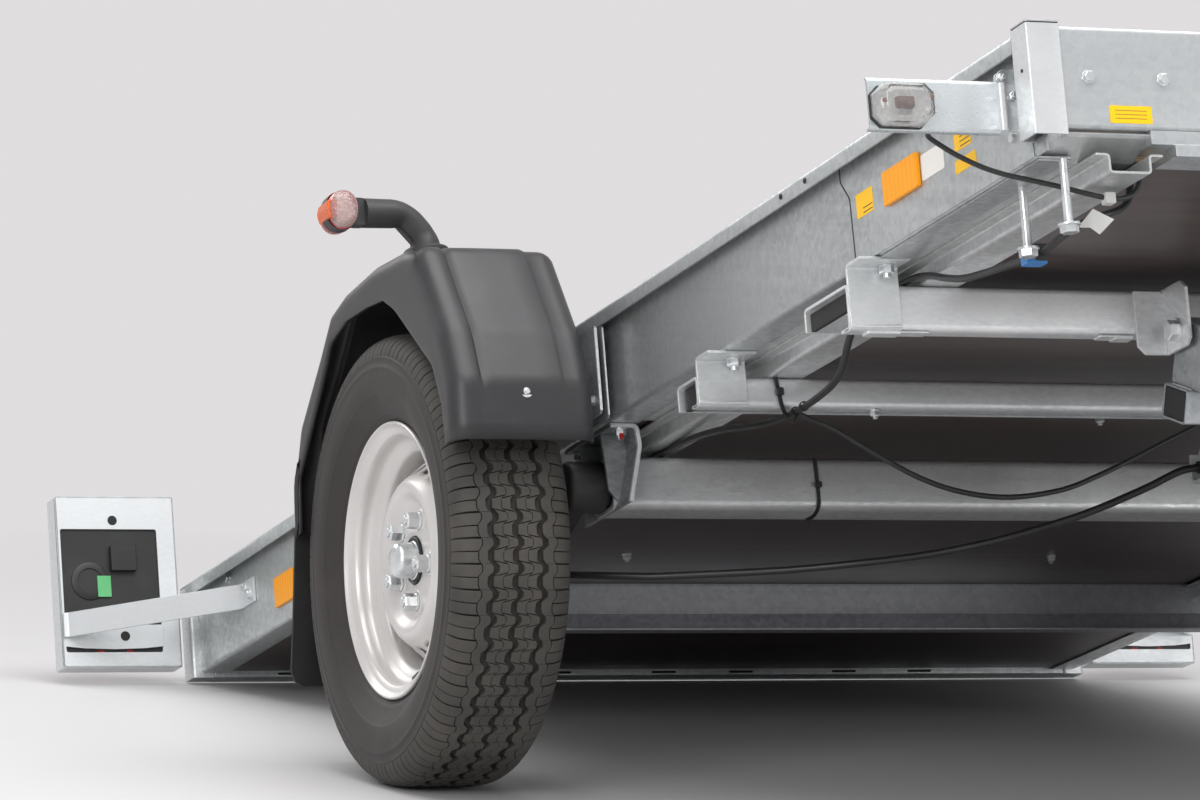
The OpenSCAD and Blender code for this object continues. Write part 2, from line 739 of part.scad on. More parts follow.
module jockey_leg() {
    fork_z = jockey_z + jockey_r + 25;
    color(galvanised) translate([jockey_x, -jockey_y, 0]) {
        translate([0, 0, fork_z]) cylinder(h = 300 - fork_z, r = 24);
        translate([0, 0, 300]) cylinder(h = 30, r = 14);
        block([-32, -16, fork_z - 6], [32, 16, fork_z]);
        for (s = [-1, 1]) block([s * 29 - 3, -16, jockey_z - 16], [s * 29 + 3, 16, fork_z]);
        disc(-36, 36, 8, 0, jockey_z);
        block([-8, -10, 322], [8, 110, 334]);
        translate([0, 100, 334]) cylinder(h = 90, r = 12);
    }
}

module jockey_wheel() {
    color(moulded) translate([jockey_x - 24, -jockey_y, jockey_z]) rotate([0, 90, 0])
        rotate_extrude($fn = 96) polygon([
            [8.1, 0], [60, 0], [70, 2], [jockey_r - 8, 0], [jockey_r, 10], [jockey_r, 38], [jockey_r - 8, 48],
            [70, 46], [60, 48], [8.1, 48]
        ]);
}

// A cable swept along its route, with a ring of eight sides at each point.
function along(p, i) = i == 0 ? unit(p[1] - p[0])
    : i == len(p) - 1 ? unit(p[i] - p[i - 1])
    : unit(unit(p[i] - p[i - 1]) + unit(p[i + 1] - p[i]));
function frame_of(p, i, n) = let (d = along(p, i), m = unit(n - (n * d) * d)) [m, cross(d, m)];
function frames(p, i = 0, n = [0.1, 0.2, 1]) =
    i == len(p) ? [] : let (f = frame_of(p, i, n)) concat([f], frames(p, i + 1, f[0]));

module cable(p, d) {
    n = 8;
    f = frames(p);
    points = [for (i = [0 : len(p) - 1], k = [0 : n - 1])
        p[i] + (cos(k * 360 / n) * f[i][0] + sin(k * 360 / n) * f[i][1]) * d / 2];
    walls = [for (i = [0 : len(p) - 2], k = [0 : n - 1])
        [i * n + k, (i + 1) * n + k, (i + 1) * n + (k + 1) % n, i * n + (k + 1) % n]];
    first_end = [for (k = [0 : n - 1]) k];
    last_end = [for (k = [n - 1 : -1 : 0]) (len(p) - 1) * n + k];
    color("black") polyhedron(points, concat(walls, [first_end, last_end]), convexity = 4);
}

module cable_bracket() {
    y0 = -second_beam_y + second_beam_d;
    color(galvanised) along_x(-12, 12) polygon([
        [y0, beam_z], [y0, beam_z - 32], [-470, 14], [-430, 14], [-430, 52], [y0 + 40, beam_z]
    ]);
}

module piece(name) {
    if (name == "side_rail") side_rail();
    if (name == "front_post") front_post();
    if (name == "rear_post") rear_post();
    if (name == "hat_section") hat_section();
    if (name == "swing_arm") swing_arm();
    if (name == "mudguard") mudguard();
    if (name == "mudflap") mudflap();
    if (name == "rear_lamp_carrier") rear_lamp_carrier();
    if (name == "tyre") tyre();
    if (name == "rim") rim();
    if (name == "hub") hub();
    if (name == "brake_cable") cable(brake_route, brake_d);
    if (name == "front_lamp_lead") cable(lamp_route, lead_d);
}

for (s = SIDES, p = PAIRS) union() {
    if (p == "drawbar_arm") drawbar_place() mirror([s == "left" ? 1 : 0, 0, 0]) drawbar_arm();
    else bed_place() on_side(s) piece(p);
}

bed_place() front_board();
bed_place() front_profile();
bed_place() floor_panel();
bed_place() front_cross_beam();
bed_place() second_cross_beam();
bed_place() rear_bearer();
bed_place() rear_beam();
bed_place() beam_cleats();
bed_place() pivot_brackets();
bed_place() pivot_bolts();
bed_place() axle_beam();
bed_place() axle_brackets();
bed_place() brake_plates();
bed_place() guard_plates();
bed_place() lamp_arms();
bed_place() marker_lamps();
bed_place() front_lamp_brackets();
bed_place() front_lamps();
bed_place() rear_lamps();
bed_place() corner_bolts();
bed_place() cable_bracket();
bed_place() on_side("right") cable(light_route, light_d);  // light_cable
bed_place() on_side("right") cable(harness_route, harness_d);  // wiring_harness
drawbar_place() drawbar_cross_tube();
drawbar_place() drawbar_nose();
drawbar_place() drawbar_gusset();
drawbar_place() coupling_head();
drawbar_place() coupling_lever();
drawbar_place() jockey_clamp();
drawbar_place() jockey_leg();
drawbar_place() jockey_wheel();
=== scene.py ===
import bpy
import bmesh
import json
import math
import random
from mathutils import Matrix, Vector

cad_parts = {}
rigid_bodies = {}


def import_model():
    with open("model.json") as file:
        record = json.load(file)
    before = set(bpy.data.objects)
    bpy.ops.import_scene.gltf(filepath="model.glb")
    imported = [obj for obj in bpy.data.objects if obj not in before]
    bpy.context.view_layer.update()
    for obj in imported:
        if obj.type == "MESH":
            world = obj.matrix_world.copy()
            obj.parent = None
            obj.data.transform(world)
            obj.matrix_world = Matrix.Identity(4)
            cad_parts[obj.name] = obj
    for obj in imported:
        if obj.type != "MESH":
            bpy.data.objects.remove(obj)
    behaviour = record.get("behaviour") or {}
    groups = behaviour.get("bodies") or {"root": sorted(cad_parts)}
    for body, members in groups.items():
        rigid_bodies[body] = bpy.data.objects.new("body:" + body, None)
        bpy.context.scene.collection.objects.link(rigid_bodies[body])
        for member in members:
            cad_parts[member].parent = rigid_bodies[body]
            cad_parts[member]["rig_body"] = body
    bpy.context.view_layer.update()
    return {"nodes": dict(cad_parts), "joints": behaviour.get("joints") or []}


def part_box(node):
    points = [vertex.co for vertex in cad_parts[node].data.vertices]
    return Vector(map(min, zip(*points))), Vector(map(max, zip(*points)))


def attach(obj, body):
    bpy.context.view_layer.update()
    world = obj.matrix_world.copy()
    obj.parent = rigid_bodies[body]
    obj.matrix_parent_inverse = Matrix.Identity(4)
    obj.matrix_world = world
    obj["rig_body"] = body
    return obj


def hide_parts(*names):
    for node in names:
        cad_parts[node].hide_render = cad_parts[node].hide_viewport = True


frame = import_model()

# Everything is in metres. The bed is laid out level about the wheel axis, with y rearwards,
# and each side with x inwards from the outer face of its rail. The drawbar is laid out
# from its pivot.
layout = {"bedWidth": 1.54, "bedTip": 16.2, "barSlope": 6.8, "frontY": -1.516, "rearY": 1.484,
    "railEnd": 1.444, "railZ": 0.13, "railTop": 0.27, "webX": 0.021, "floorZ": 0.133,
    "floorTop": 0.148, "beamZ": 0.107, "rimX": -0.2, "sheet": 0.003}
jointPlace = {j["name"]: Vector(j["pos_m"]) for j in frame["joints"]}
wheelAxis = Vector((0, jointPlace["wheel_right_spin"].y, jointPlace["wheel_right_spin"].z))
bedPlace = Matrix.Translation(wheelAxis) @ Matrix.Rotation(math.radians(-layout["bedTip"]), 4, "X")
barPlace = Matrix.Translation(jointPlace["drawbar_pivot"]) @ Matrix.Rotation(
    math.radians(layout["barSlope"]), 4, "X")
toRail = Matrix.Translation((-layout["bedWidth"] / 2, 0, 0))
sidePlace = {"right": bedPlace @ toRail, "left": bedPlace @ Matrix.Scale(-1, 4, (1, 0, 0)) @ toRail}
barSide = {"right": barPlace, "left": barPlace @ Matrix.Scale(-1, 4, (1, 0, 0))}
sides = "right", "left"


def newObject(name, data):
    obj = bpy.data.objects.new(name, data)
    bpy.context.scene.collection.objects.link(obj)
    return obj


# The camera stands low and far off, ahead of the trailer's right side, with a long lens.
cameraSet = {"lens": 180, "sensor": 36, "place": (-3.674, -6.636, 0.8291), "yaw": 22.145,
    "pitch": -2.298, "roll": 1.74, "farClip": 200}


def makeCamera():
    yaw = math.radians(cameraSet["yaw"])
    pitch = math.radians(cameraSet["pitch"])
    roll = math.radians(cameraSet["roll"])
    forward = Vector((math.sin(yaw) * math.cos(pitch), math.cos(yaw) * math.cos(pitch),
        math.sin(pitch)))
    right = Vector((math.cos(yaw), -math.sin(yaw), 0))
    up = right.cross(forward)
    rightTurned = right * math.cos(roll) + up * math.sin(roll)
    upTurned = up * math.cos(roll) - right * math.sin(roll)
    data = bpy.data.cameras.new("photoCamera")
    data.lens = cameraSet["lens"]
    data.sensor_width = cameraSet["sensor"]
    data.clip_end = cameraSet["farClip"]
    camera = newObject("photoCamera", data)
    turn = Matrix((rightTurned, upTurned, -forward)).transposed().to_4x4()
    camera.matrix_world = Matrix.Translation(cameraSet["place"]) @ turn
    bpy.context.scene.camera = camera


makeCamera()
print("camera stands")


# Node helpers for the materials.
def newMaterial(name):
    material = bpy.data.materials.new(name)
    material.use_nodes = True
    tree = material.node_tree
    return material, tree, tree.nodes["Principled BSDF"]


# Links or sets each input of a node.
def fill(tree, node, values):
    for key, value in values.items():
        if isinstance(value, bpy.types.NodeSocket):
            tree.links.new(value, node.inputs[key])
        else:
            node.inputs[key].default_value = value


def addNode(tree, kind, values=None, **settings):
    node = tree.nodes.new(kind)
    for key, value in settings.items():
        setattr(node, key, value)
    fill(tree, node, values or {})
    return node


def objectCoords(tree, scale=(1, 1, 1), tilt=0.0):
    coords = addNode(tree, "ShaderNodeTexCoord").outputs["Object"]
    return addNode(tree, "ShaderNodeMapping", {"Vector": coords,
        "Rotation": (math.radians(tilt), 0, 0), "Scale": scale}).outputs["Vector"]


def noise(tree, coords, scale, detail=4.0, rough=0.55):
    return addNode(tree, "ShaderNodeTexNoise", {"Vector": coords, "Scale": scale, "Detail": detail,
        "Roughness": rough}).outputs["Fac"]


def ramp(tree, fac, low, high, dark=0.0, light=1.0):
    return addNode(tree, "ShaderNodeMapRange", {"Value": fac, "From Min": low, "From Max": high,
        "To Min": dark, "To Max": light}).outputs["Result"]


def mixColour(tree, fac, first, second, blend="MIX"):
    node = addNode(tree, "ShaderNodeMix", data_type="RGBA", blend_type=blend)
    for socket, value in ((node.inputs[0], fac), (node.inputs[6], first), (node.inputs[7], second)):
        if isinstance(value, bpy.types.NodeSocket):
            tree.links.new(value, socket)
        else:
            socket.default_value = value if isinstance(value, float) else (*value, 1)
    return node.outputs[2]


def maths(tree, kind, first, second=0.5):
    return addNode(tree, "ShaderNodeMath", {0: first, 1: second}, operation=kind).outputs[0]


def blendOf(tree, first, share, second, otherShare):
    return maths(tree, "ADD", maths(tree, "MULTIPLY", first, share),
        maths(tree, "MULTIPLY", second, otherShare))


def addBump(tree, shader, height, strength, distance):
    bump = addNode(tree, "ShaderNodeBump", {"Height": height, "Strength": strength,
        "Distance": distance})
    tree.links.new(bump.outputs["Normal"], shader.inputs["Normal"])


# Rolled galvanised sheet: long faint streaks, small spangle and some handling stains.
def galvanisedSheet(name, dark, light, tilt, metal=0.85, rough=(0.3, 0.48), streak=(60, 1.2, 60)):
    material, tree, shader = newMaterial(name)
    streaks = noise(tree, objectCoords(tree, streak, tilt), 1.0, 3.0)
    spangle = addNode(tree, "ShaderNodeTexVoronoi", {"Vector": objectCoords(tree), "Scale": 130.0},
        feature="F1").outputs["Color"]
    cloud = noise(tree, objectCoords(tree), 5.0, 5.0)
    stain = noise(tree, objectCoords(tree, (3, 1, 6)), 6.0, 8.0, 0.7)
    sum1 = blendOf(tree, streaks, 0.45, cloud, 0.35)
    spangleGrey = addNode(tree, "ShaderNodeSeparateColor", {"Color": spangle}).outputs[0]
    tone = maths(tree, "ADD", sum1, maths(tree, "MULTIPLY", spangleGrey, 0.2))
    base = mixColour(tree, ramp(tree, tone, 0.33, 0.68), dark, light)
    stained = mixColour(tree, ramp(tree, stain, 0.62, 0.74, 0.0, 0.35), base,
        tuple(c * 0.72 for c in dark))
    fill(tree, shader, {"Base Color": stained, "Roughness": ramp(tree, tone, 0.3, 0.7, rough[1],
        rough[0]), "Metallic": metal})
    addBump(tree, shader, maths(tree, "ADD", streaks, maths(tree, "MULTIPLY", cloud, 0.6)), 0.1,
        0.002)
    return material


# Hot-dip galvanised steel: bright, mottled, with runs and small dimples.
def hotDipSteel(name, dark, light, rough=(0.34, 0.48), dimple=0.05):
    material, tree, shader = newMaterial(name)
    mottle = noise(tree, objectCoords(tree, (1, 1, 2.2)), 90.0, 2.0, 0.5)
    patch = noise(tree, objectCoords(tree), 9.0, 4.0)
    runs = noise(tree, objectCoords(tree, (30, 30, 4)), 1.6, 3.0)
    tone = blendOf(tree, mottle, 0.5, patch, 0.5)
    base = mixColour(tree, ramp(tree, tone, 0.28, 0.7), dark, light)
    fill(tree, shader, {"Base Color": base, "Roughness": ramp(tree, mottle, 0.35, 0.65, rough[1],
        rough[0]), "Metallic": 0.65})
    height = blendOf(tree, mottle, 0.7, runs, 0.5)
    addBump(tree, shader, height, dimple, 0.002)
    return material


def platedZinc():
    material, tree, shader = newMaterial("platedZinc")
    cloud = noise(tree, objectCoords(tree), 60.0, 3.0)
    fill(tree, shader, {"Base Color": mixColour(tree, cloud, (0.58, 0.61, 0.64),
        (0.86, 0.87, 0.86)), "Roughness": ramp(tree, cloud, 0.3, 0.7, 0.22, 0.38), "Metallic": 0.9})
    addBump(tree, shader, cloud, 0.08, 0.001)
    return material


def silverPaint():
    material, tree, shader = newMaterial("rimSilver")
    cloud = noise(tree, objectCoords(tree), 7.0, 4.0)
    flake = noise(tree, objectCoords(tree), 900.0, 2.0)
    tone = blendOf(tree, cloud, 0.8, flake, 0.2)
    fill(tree, shader, {"Base Color": mixColour(tree, ramp(tree, tone, 0.35, 0.65),
        (0.6, 0.575, 0.56), (0.7, 0.68, 0.665)), "Roughness": ramp(tree, cloud, 0.3, 0.7, 0.3, 0.4),
        "Metallic": 0.35, "Coat Weight": 0.25, "Coat Roughness": 0.2})
    addBump(tree, shader, noise(tree, objectCoords(tree), 300.0, 2.0), 0.05, 0.0006)
    return material


# Rubber and moulded plastics share one recipe: a dark base with dust, and a fine grain.
def darkMoulding(name, base, dust, rough, grainScale, grainDepth, dustLow=0.5, dustHigh=0.8):
    material, tree, shader = newMaterial(name)
    cloud = noise(tree, objectCoords(tree), 14.0, 6.0, 0.6)
    grain = noise(tree, objectCoords(tree), grainScale, 3.0)
    fill(tree, shader, {"Base Color": mixColour(tree, ramp(tree, cloud, dustLow, dustHigh), base,
        dust), "Roughness": ramp(tree, cloud, 0.3, 0.7, rough - 0.05, rough + 0.07)})
    addBump(tree, shader, grain, grainDepth, 0.001)
    return material


# Plywood with a dark phenolic film, pressed with a fine mesh; bare pale plies show at the edges.
def filmPlywood():
    material, tree, shader = newMaterial("filmPlywood")
    coords = objectCoords(tree, (1, 1, 1), layout["bedTip"])
    grain = noise(tree, objectCoords(tree, (2, 40, 2), layout["bedTip"]), 1.5, 5.0)
    cloud = noise(tree, coords, 2.5, 5.0)
    tone = blendOf(tree, grain, 0.5, cloud, 0.5)
    film = mixColour(tree, ramp(tree, tone, 0.38, 0.62), (0.042, 0.03, 0.028),
        (0.078, 0.058, 0.054))
    fill(tree, shader, {"Base Color": film, "Roughness": 0.38})
    mesh = addNode(tree, "ShaderNodeTexVoronoi", {"Vector": coords,
        "Scale": 260.0}).outputs["Distance"]
    addBump(tree, shader, mesh, 0.12, 0.0008)
    return material


def plyEdge():
    material, tree, shader = newMaterial("plyEdge")
    coords = objectCoords(tree, (1, 1, 1), layout["bedTip"])
    plies = addNode(tree, "ShaderNodeTexWave", {"Vector": coords, "Scale": 110.0, "Distortion": 0.6,
        "Detail": 2.0}, bands_direction="Z").outputs["Fac"]
    fill(tree, shader, {"Base Color": mixColour(tree, plies, (0.36, 0.24, 0.14), (0.62, 0.47, 0.3)),
        "Roughness": 0.75})
    addBump(tree, shader, plies, 0.2, 0.001)
    return material


# Lenses: a coloured plastic over rows of small prisms.
def lensPlastic(name, colour, transmission, rough=0.12, prism=260.0, depth=0.5):
    material, tree, shader = newMaterial(name)
    coords = objectCoords(tree)
    cells = addNode(tree, "ShaderNodeTexVoronoi", {"Vector": coords,
        "Scale": prism}).outputs["Distance"]
    tone = mixColour(tree, ramp(tree, cells, 0.0, 0.6), tuple(min(1, c * 1.08) for c in colour),
        tuple(c * 0.72 for c in colour))
    fill(tree, shader, {"Base Color": tone, "Roughness": rough, "Transmission Weight": transmission,
        "IOR": 1.49})
    addBump(tree, shader, cells, depth, 0.001)
    return material


# Reflective foil: upright bands with a fine prism grain.
def foil(name, colour, band):
    material, tree, shader = newMaterial(name)
    coords = objectCoords(tree, (1, 1, 1), layout["bedTip"])
    bands = addNode(tree, "ShaderNodeTexWave", {"Vector": coords, "Scale": band},
        bands_direction="Y").outputs["Fac"]
    cells = addNode(tree, "ShaderNodeTexVoronoi", {"Vector": coords,
        "Scale": 420.0}).outputs["Distance"]
    tone = blendOf(tree, bands, 0.6, cells, 0.4)
    fill(tree, shader, {"Base Color": mixColour(tree, ramp(tree, tone, 0.2, 0.7), colour,
        tuple(c * 0.88 for c in colour)), "Roughness": 0.38, "Specular IOR Level": 0.25})
    addBump(tree, shader, cells, 0.06, 0.0004)
    return material


tip = layout["bedTip"]
finish = {
    "rail": galvanisedSheet("railSheet", (0.4, 0.42, 0.425), (0.57, 0.59, 0.59), tip, metal=0.75),
    "board": galvanisedSheet("boardSheet", (0.44, 0.46, 0.47), (0.6, 0.62, 0.625), tip, metal=0.75,
        streak=(1.5, 60, 60)),
    "crossSheet": galvanisedSheet("crossSheet", (0.4, 0.42, 0.43), (0.56, 0.58, 0.585), tip,
        metal=0.55, streak=(1.2, 50, 50)),
    "bar": galvanisedSheet("barSheet", (0.34, 0.36, 0.37), (0.52, 0.54, 0.55),
        -layout["barSlope"]),
    "hotDip": hotDipSteel("hotDip", (0.6, 0.61, 0.62), (0.84, 0.85, 0.85)),
    "dullDip": hotDipSteel("dullDip", (0.2, 0.21, 0.22), (0.34, 0.355, 0.36), (0.36, 0.55), 0.06),
    "zinc": platedZinc(),
    "drum": darkMoulding("drumPaint", (0.03, 0.029, 0.029), (0.06, 0.055, 0.05), 0.5, 300.0,
        0.15),
    "silver": silverPaint(),
    "rubber": darkMoulding("tyreRubber", (0.027, 0.023, 0.021), (0.046, 0.04, 0.036), 0.6, 500.0,
        0.1),
    "tread": darkMoulding("treadRubber", (0.038, 0.035, 0.031), (0.068, 0.062, 0.054), 0.68, 260.0,
        0.25, 0.35, 0.7),
    "plastic": darkMoulding("mouldedPlastic", (0.026, 0.025, 0.027), (0.04, 0.038, 0.041), 0.4,
        1400.0, 0.16),
    "arm": darkMoulding("armRubber", (0.03, 0.03, 0.031), (0.045, 0.044, 0.044), 0.5, 700.0, 0.1),
    "flap": darkMoulding("flapRubber", (0.01, 0.01, 0.01), (0.02, 0.02, 0.02), 0.55, 600.0, 0.1),
    "black": darkMoulding("blackPart", (0.013, 0.013, 0.014), (0.024, 0.024, 0.024), 0.42, 900.0,
        0.08),
    "sheath": darkMoulding("cableSheath", (0.014, 0.014, 0.015), (0.026, 0.026, 0.026), 0.4, 500.0,
        0.08),
    "film": filmPlywood(),
    "ply": plyEdge(),
    "gap": darkMoulding("shadowGap", (0.01, 0.01, 0.01), (0.016, 0.016, 0.016), 0.7, 300.0, 0.05),
    "ink": darkMoulding("stickerInk", (0.3, 0.16, 0.02), (0.36, 0.2, 0.03), 0.5, 300.0, 0.02),
    "post": hotDipSteel("postSteel", (0.54, 0.55, 0.56), (0.74, 0.75, 0.755)),
    "bright": hotDipSteel("brightSheet", (0.52, 0.56, 0.58), (0.72, 0.76, 0.77), (0.26, 0.4),
        0.04),
    "cleat": hotDipSteel("cleatSteel", (0.58, 0.6, 0.61), (0.8, 0.82, 0.82), (0.3, 0.44), 0.05),
    "hat": galvanisedSheet("hatSheet", (0.48, 0.49, 0.49), (0.64, 0.65, 0.65), tip, metal=0.7),
    # A lighter copy of the sheet, for the rear bearer's lip and for thin lines of painted highlight
    # on the bearer's face.
    "bearerLip": galvanisedSheet("lipSheet", (0.46, 0.47, 0.5), (0.62, 0.63, 0.66), tip,
        streak=(1.2, 50, 50)),
    "axle": hotDipSteel("axleSteel", (0.44, 0.45, 0.455), (0.62, 0.63, 0.63), (0.3, 0.46), 0.05),
    "bulb": darkMoulding("lampChip", (0.2, 0.13, 0.11), (0.28, 0.2, 0.17), 0.35, 400.0, 0.05),
    "blue": darkMoulding("blueSplice", (0.03, 0.16, 0.42), (0.045, 0.2, 0.48), 0.35, 400.0, 0.05),
    "clipWhite": darkMoulding("clipWhite", (0.55, 0.55, 0.53), (0.68, 0.68, 0.66), 0.4, 400.0,
        0.05),
    "pinkLens": lensPlastic("pinkLens", (0.9, 0.66, 0.64), 0.7, 0.06, 240.0, 0.5),
    "clear": lensPlastic("clearLens", (0.93, 0.93, 0.95), 0.92, 0.05, 180.0, 0.12),
    "amber": lensPlastic("amberLens", (0.95, 0.17, 0.035), 0.1, 0.14, 300.0, 0.12),
    "red": lensPlastic("redLens", (0.55, 0.012, 0.01), 0.2),
    "orangeFoil": foil("orangeFoil", (0.97, 0.36, 0.005), 28.0),
    "yellowFoil": foil("yellowFoil", (1.0, 0.56, 0.01), 70.0),
    "whiteFoil": foil("whiteFoil", (0.82, 0.8, 0.76), 90.0),
    "carrier": hotDipSteel("carrierSheet", (0.62, 0.64, 0.65), (0.72, 0.74, 0.75), (0.38, 0.5),
        0.03),
    # A darker copy of the sheet: painted shade on the rear bearer's face.
    "bearerShadeBand": galvanisedSheet("bearerShadeBand", (0.2, 0.2, 0.225), (0.32, 0.315, 0.35), tip, metal=0.5,
        streak=(1.2, 50, 50)),
    "tag": darkMoulding("tagPaper", (0.62, 0.62, 0.6), (0.7, 0.7, 0.68), 0.5, 300.0, 0.02),
    "greenTag": darkMoulding("greenTag", (0.1, 0.42, 0.16), (0.14, 0.5, 0.2), 0.45, 300.0, 0.02),
    "redGrip": darkMoulding("gripPlastic", (0.3, 0.02, 0.016), (0.36, 0.035, 0.028), 0.42, 900.0,
        0.1),
    "rimGrey": darkMoulding("wheelPlastic", (0.2, 0.2, 0.205), (0.27, 0.27, 0.27), 0.42, 900.0,
        0.08),
}
print("materials:", len(finish))


# Mesh helpers. A piece is built in a layout, turned into place, and rides on its body.
def unit(v):
    return v / (v.length or 1.0)


def turned(point, place):
    return place @ Vector(point)


def flat(points):
    return [(p.x, p.y) for p in points]


def turnedAt(place, spot, degrees, axis):
    return place @ Matrix.Translation(spot) @ Matrix.Rotation(math.radians(degrees), 4, axis)


def dress(obj, body, nodes=()):
    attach(obj, body)
    if nodes:
        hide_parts(*nodes)
    return obj


# Builds a piece in its look. Its slot argument is not used.
def add(name, look, maker, *shape, body="bed", slot=None, nodes=(), **options):
    obj = maker(name, *shape, finish[look], **options)
    return dress(obj, body, nodes)


def onBar(*facts, **options):
    return add(*facts, body="drawbar", **options)


def smoothByAngle(mesh, angle=32):
    mesh.polygons.foreach_set("use_smooth", [True] * len(mesh.polygons))
    mesh.set_sharp_from_angle(angle=math.radians(angle))


def addBevel(obj, width, segments=1, angle=35):
    bevel = obj.modifiers.new("edges", "BEVEL")
    bevel.width = width
    bevel.segments = segments
    bevel.limit_method = "ANGLE"
    bevel.angle_limit = math.radians(angle)
    bevel.harden_normals = True
    bevel.use_clamp_overlap = True


def addWall(obj, thickness, offset=-1):
    wall = obj.modifiers.new("wall", "SOLIDIFY")
    wall.thickness = thickness
    wall.offset = offset


# The points are in the layout that place turns into the shared frame.
def meshPiece(name, points, faces, place, materials, smooth=32):
    mesh = bpy.data.meshes.new(name)
    mesh.from_pydata([turned(p, place) for p in points], [], faces)
    for material in materials if isinstance(materials, (list, tuple)) else [materials]:
        mesh.materials.append(material)
    if place.determinant() < 0:
        mesh.flip_normals()
    mesh.update()
    smoothByAngle(mesh, smooth)
    return newObject(name, mesh)


mergeDistance = 0.00001


def fixNormals(mesh, merge=0.0):
    bm = bmesh.new()
    bm.from_mesh(mesh)
    if merge:
        bmesh.ops.remove_doubles(bm, verts=bm.verts, dist=merge)
    bmesh.ops.recalc_face_normals(bm, faces=bm.faces)
    bm.to_mesh(mesh)
    bm.free()


# A smooth line through the points, with steps to each span.
def catmull(points, steps):
    pts = [Vector(p) for p in points]
    ends = [pts[0] * 2 - pts[1]] + pts + [pts[-1] * 2 - pts[-2]]
    line = []
    for i in range(1, len(ends) - 2):
        a, b, c, d = ends[i - 1:i + 3]
        for k in range(steps):
            t = k / steps
            line.append(0.5 * (2 * b + (c - a) * t + (2 * a - 5 * b + 4 * c - d) * t * t
                + (3 * b - a - 3 * c + d) * t ** 3))
    return line + [pts[-1]]


def lineLength(points):
    return sum((b - a).length for a, b in zip(points, points[1:]))


# Rings of a section, given as (sideways, up) pairs, carried along a line without twist.
def tubeRings(line, section, start=(0.1, 0.2, 1)):
    rings = []
    normal = Vector(start)
    for i, p in enumerate(line):
        ahead = unit(line[min(i + 1, len(line) - 1)] - line[max(i - 1, 0)])
        normal = unit(normal - ahead * normal.dot(ahead))
        across = ahead.cross(normal)
        outline = section(i / (len(line) - 1)) if callable(section) else section
        rings.append([p + normal * u + across * v for u, v in outline])
    return rings


def ringFaces(count, sides):
    faces = [(i * sides + k, i * sides + (k + 1) % sides, (i + 1) * sides + (k + 1) % sides,
        (i + 1) * sides + k) for i in range(count - 1) for k in range(sides)]
    return faces + [tuple(reversed(range(sides))), tuple(range((count - 1) * sides, count * sides))]


def roundSection(radius, sides=12):
    return [(radius * math.cos(2 * math.pi * k / sides),
        radius * math.sin(2 * math.pi * k / sides)) for k in range(sides)]


def swept(name, line, section, place, material, smooth=50, start=(0.1, 0.2, 1)):
    rings = tubeRings(line, section, start)
    obj = meshPiece(name, [p for ring in rings for p in ring], ringFaces(len(rings), len(rings[0])),
        place, material, smooth)
    fixNormals(obj.data)
    return obj


# An open sheet whose faces are to look mostly along outward.
def fixOutward(mesh, outward):
    fixNormals(mesh)
    total = sum((p.normal * p.area for p in mesh.polygons), Vector())
    if total.dot(outward) < 0:
        mesh.flip_normals()


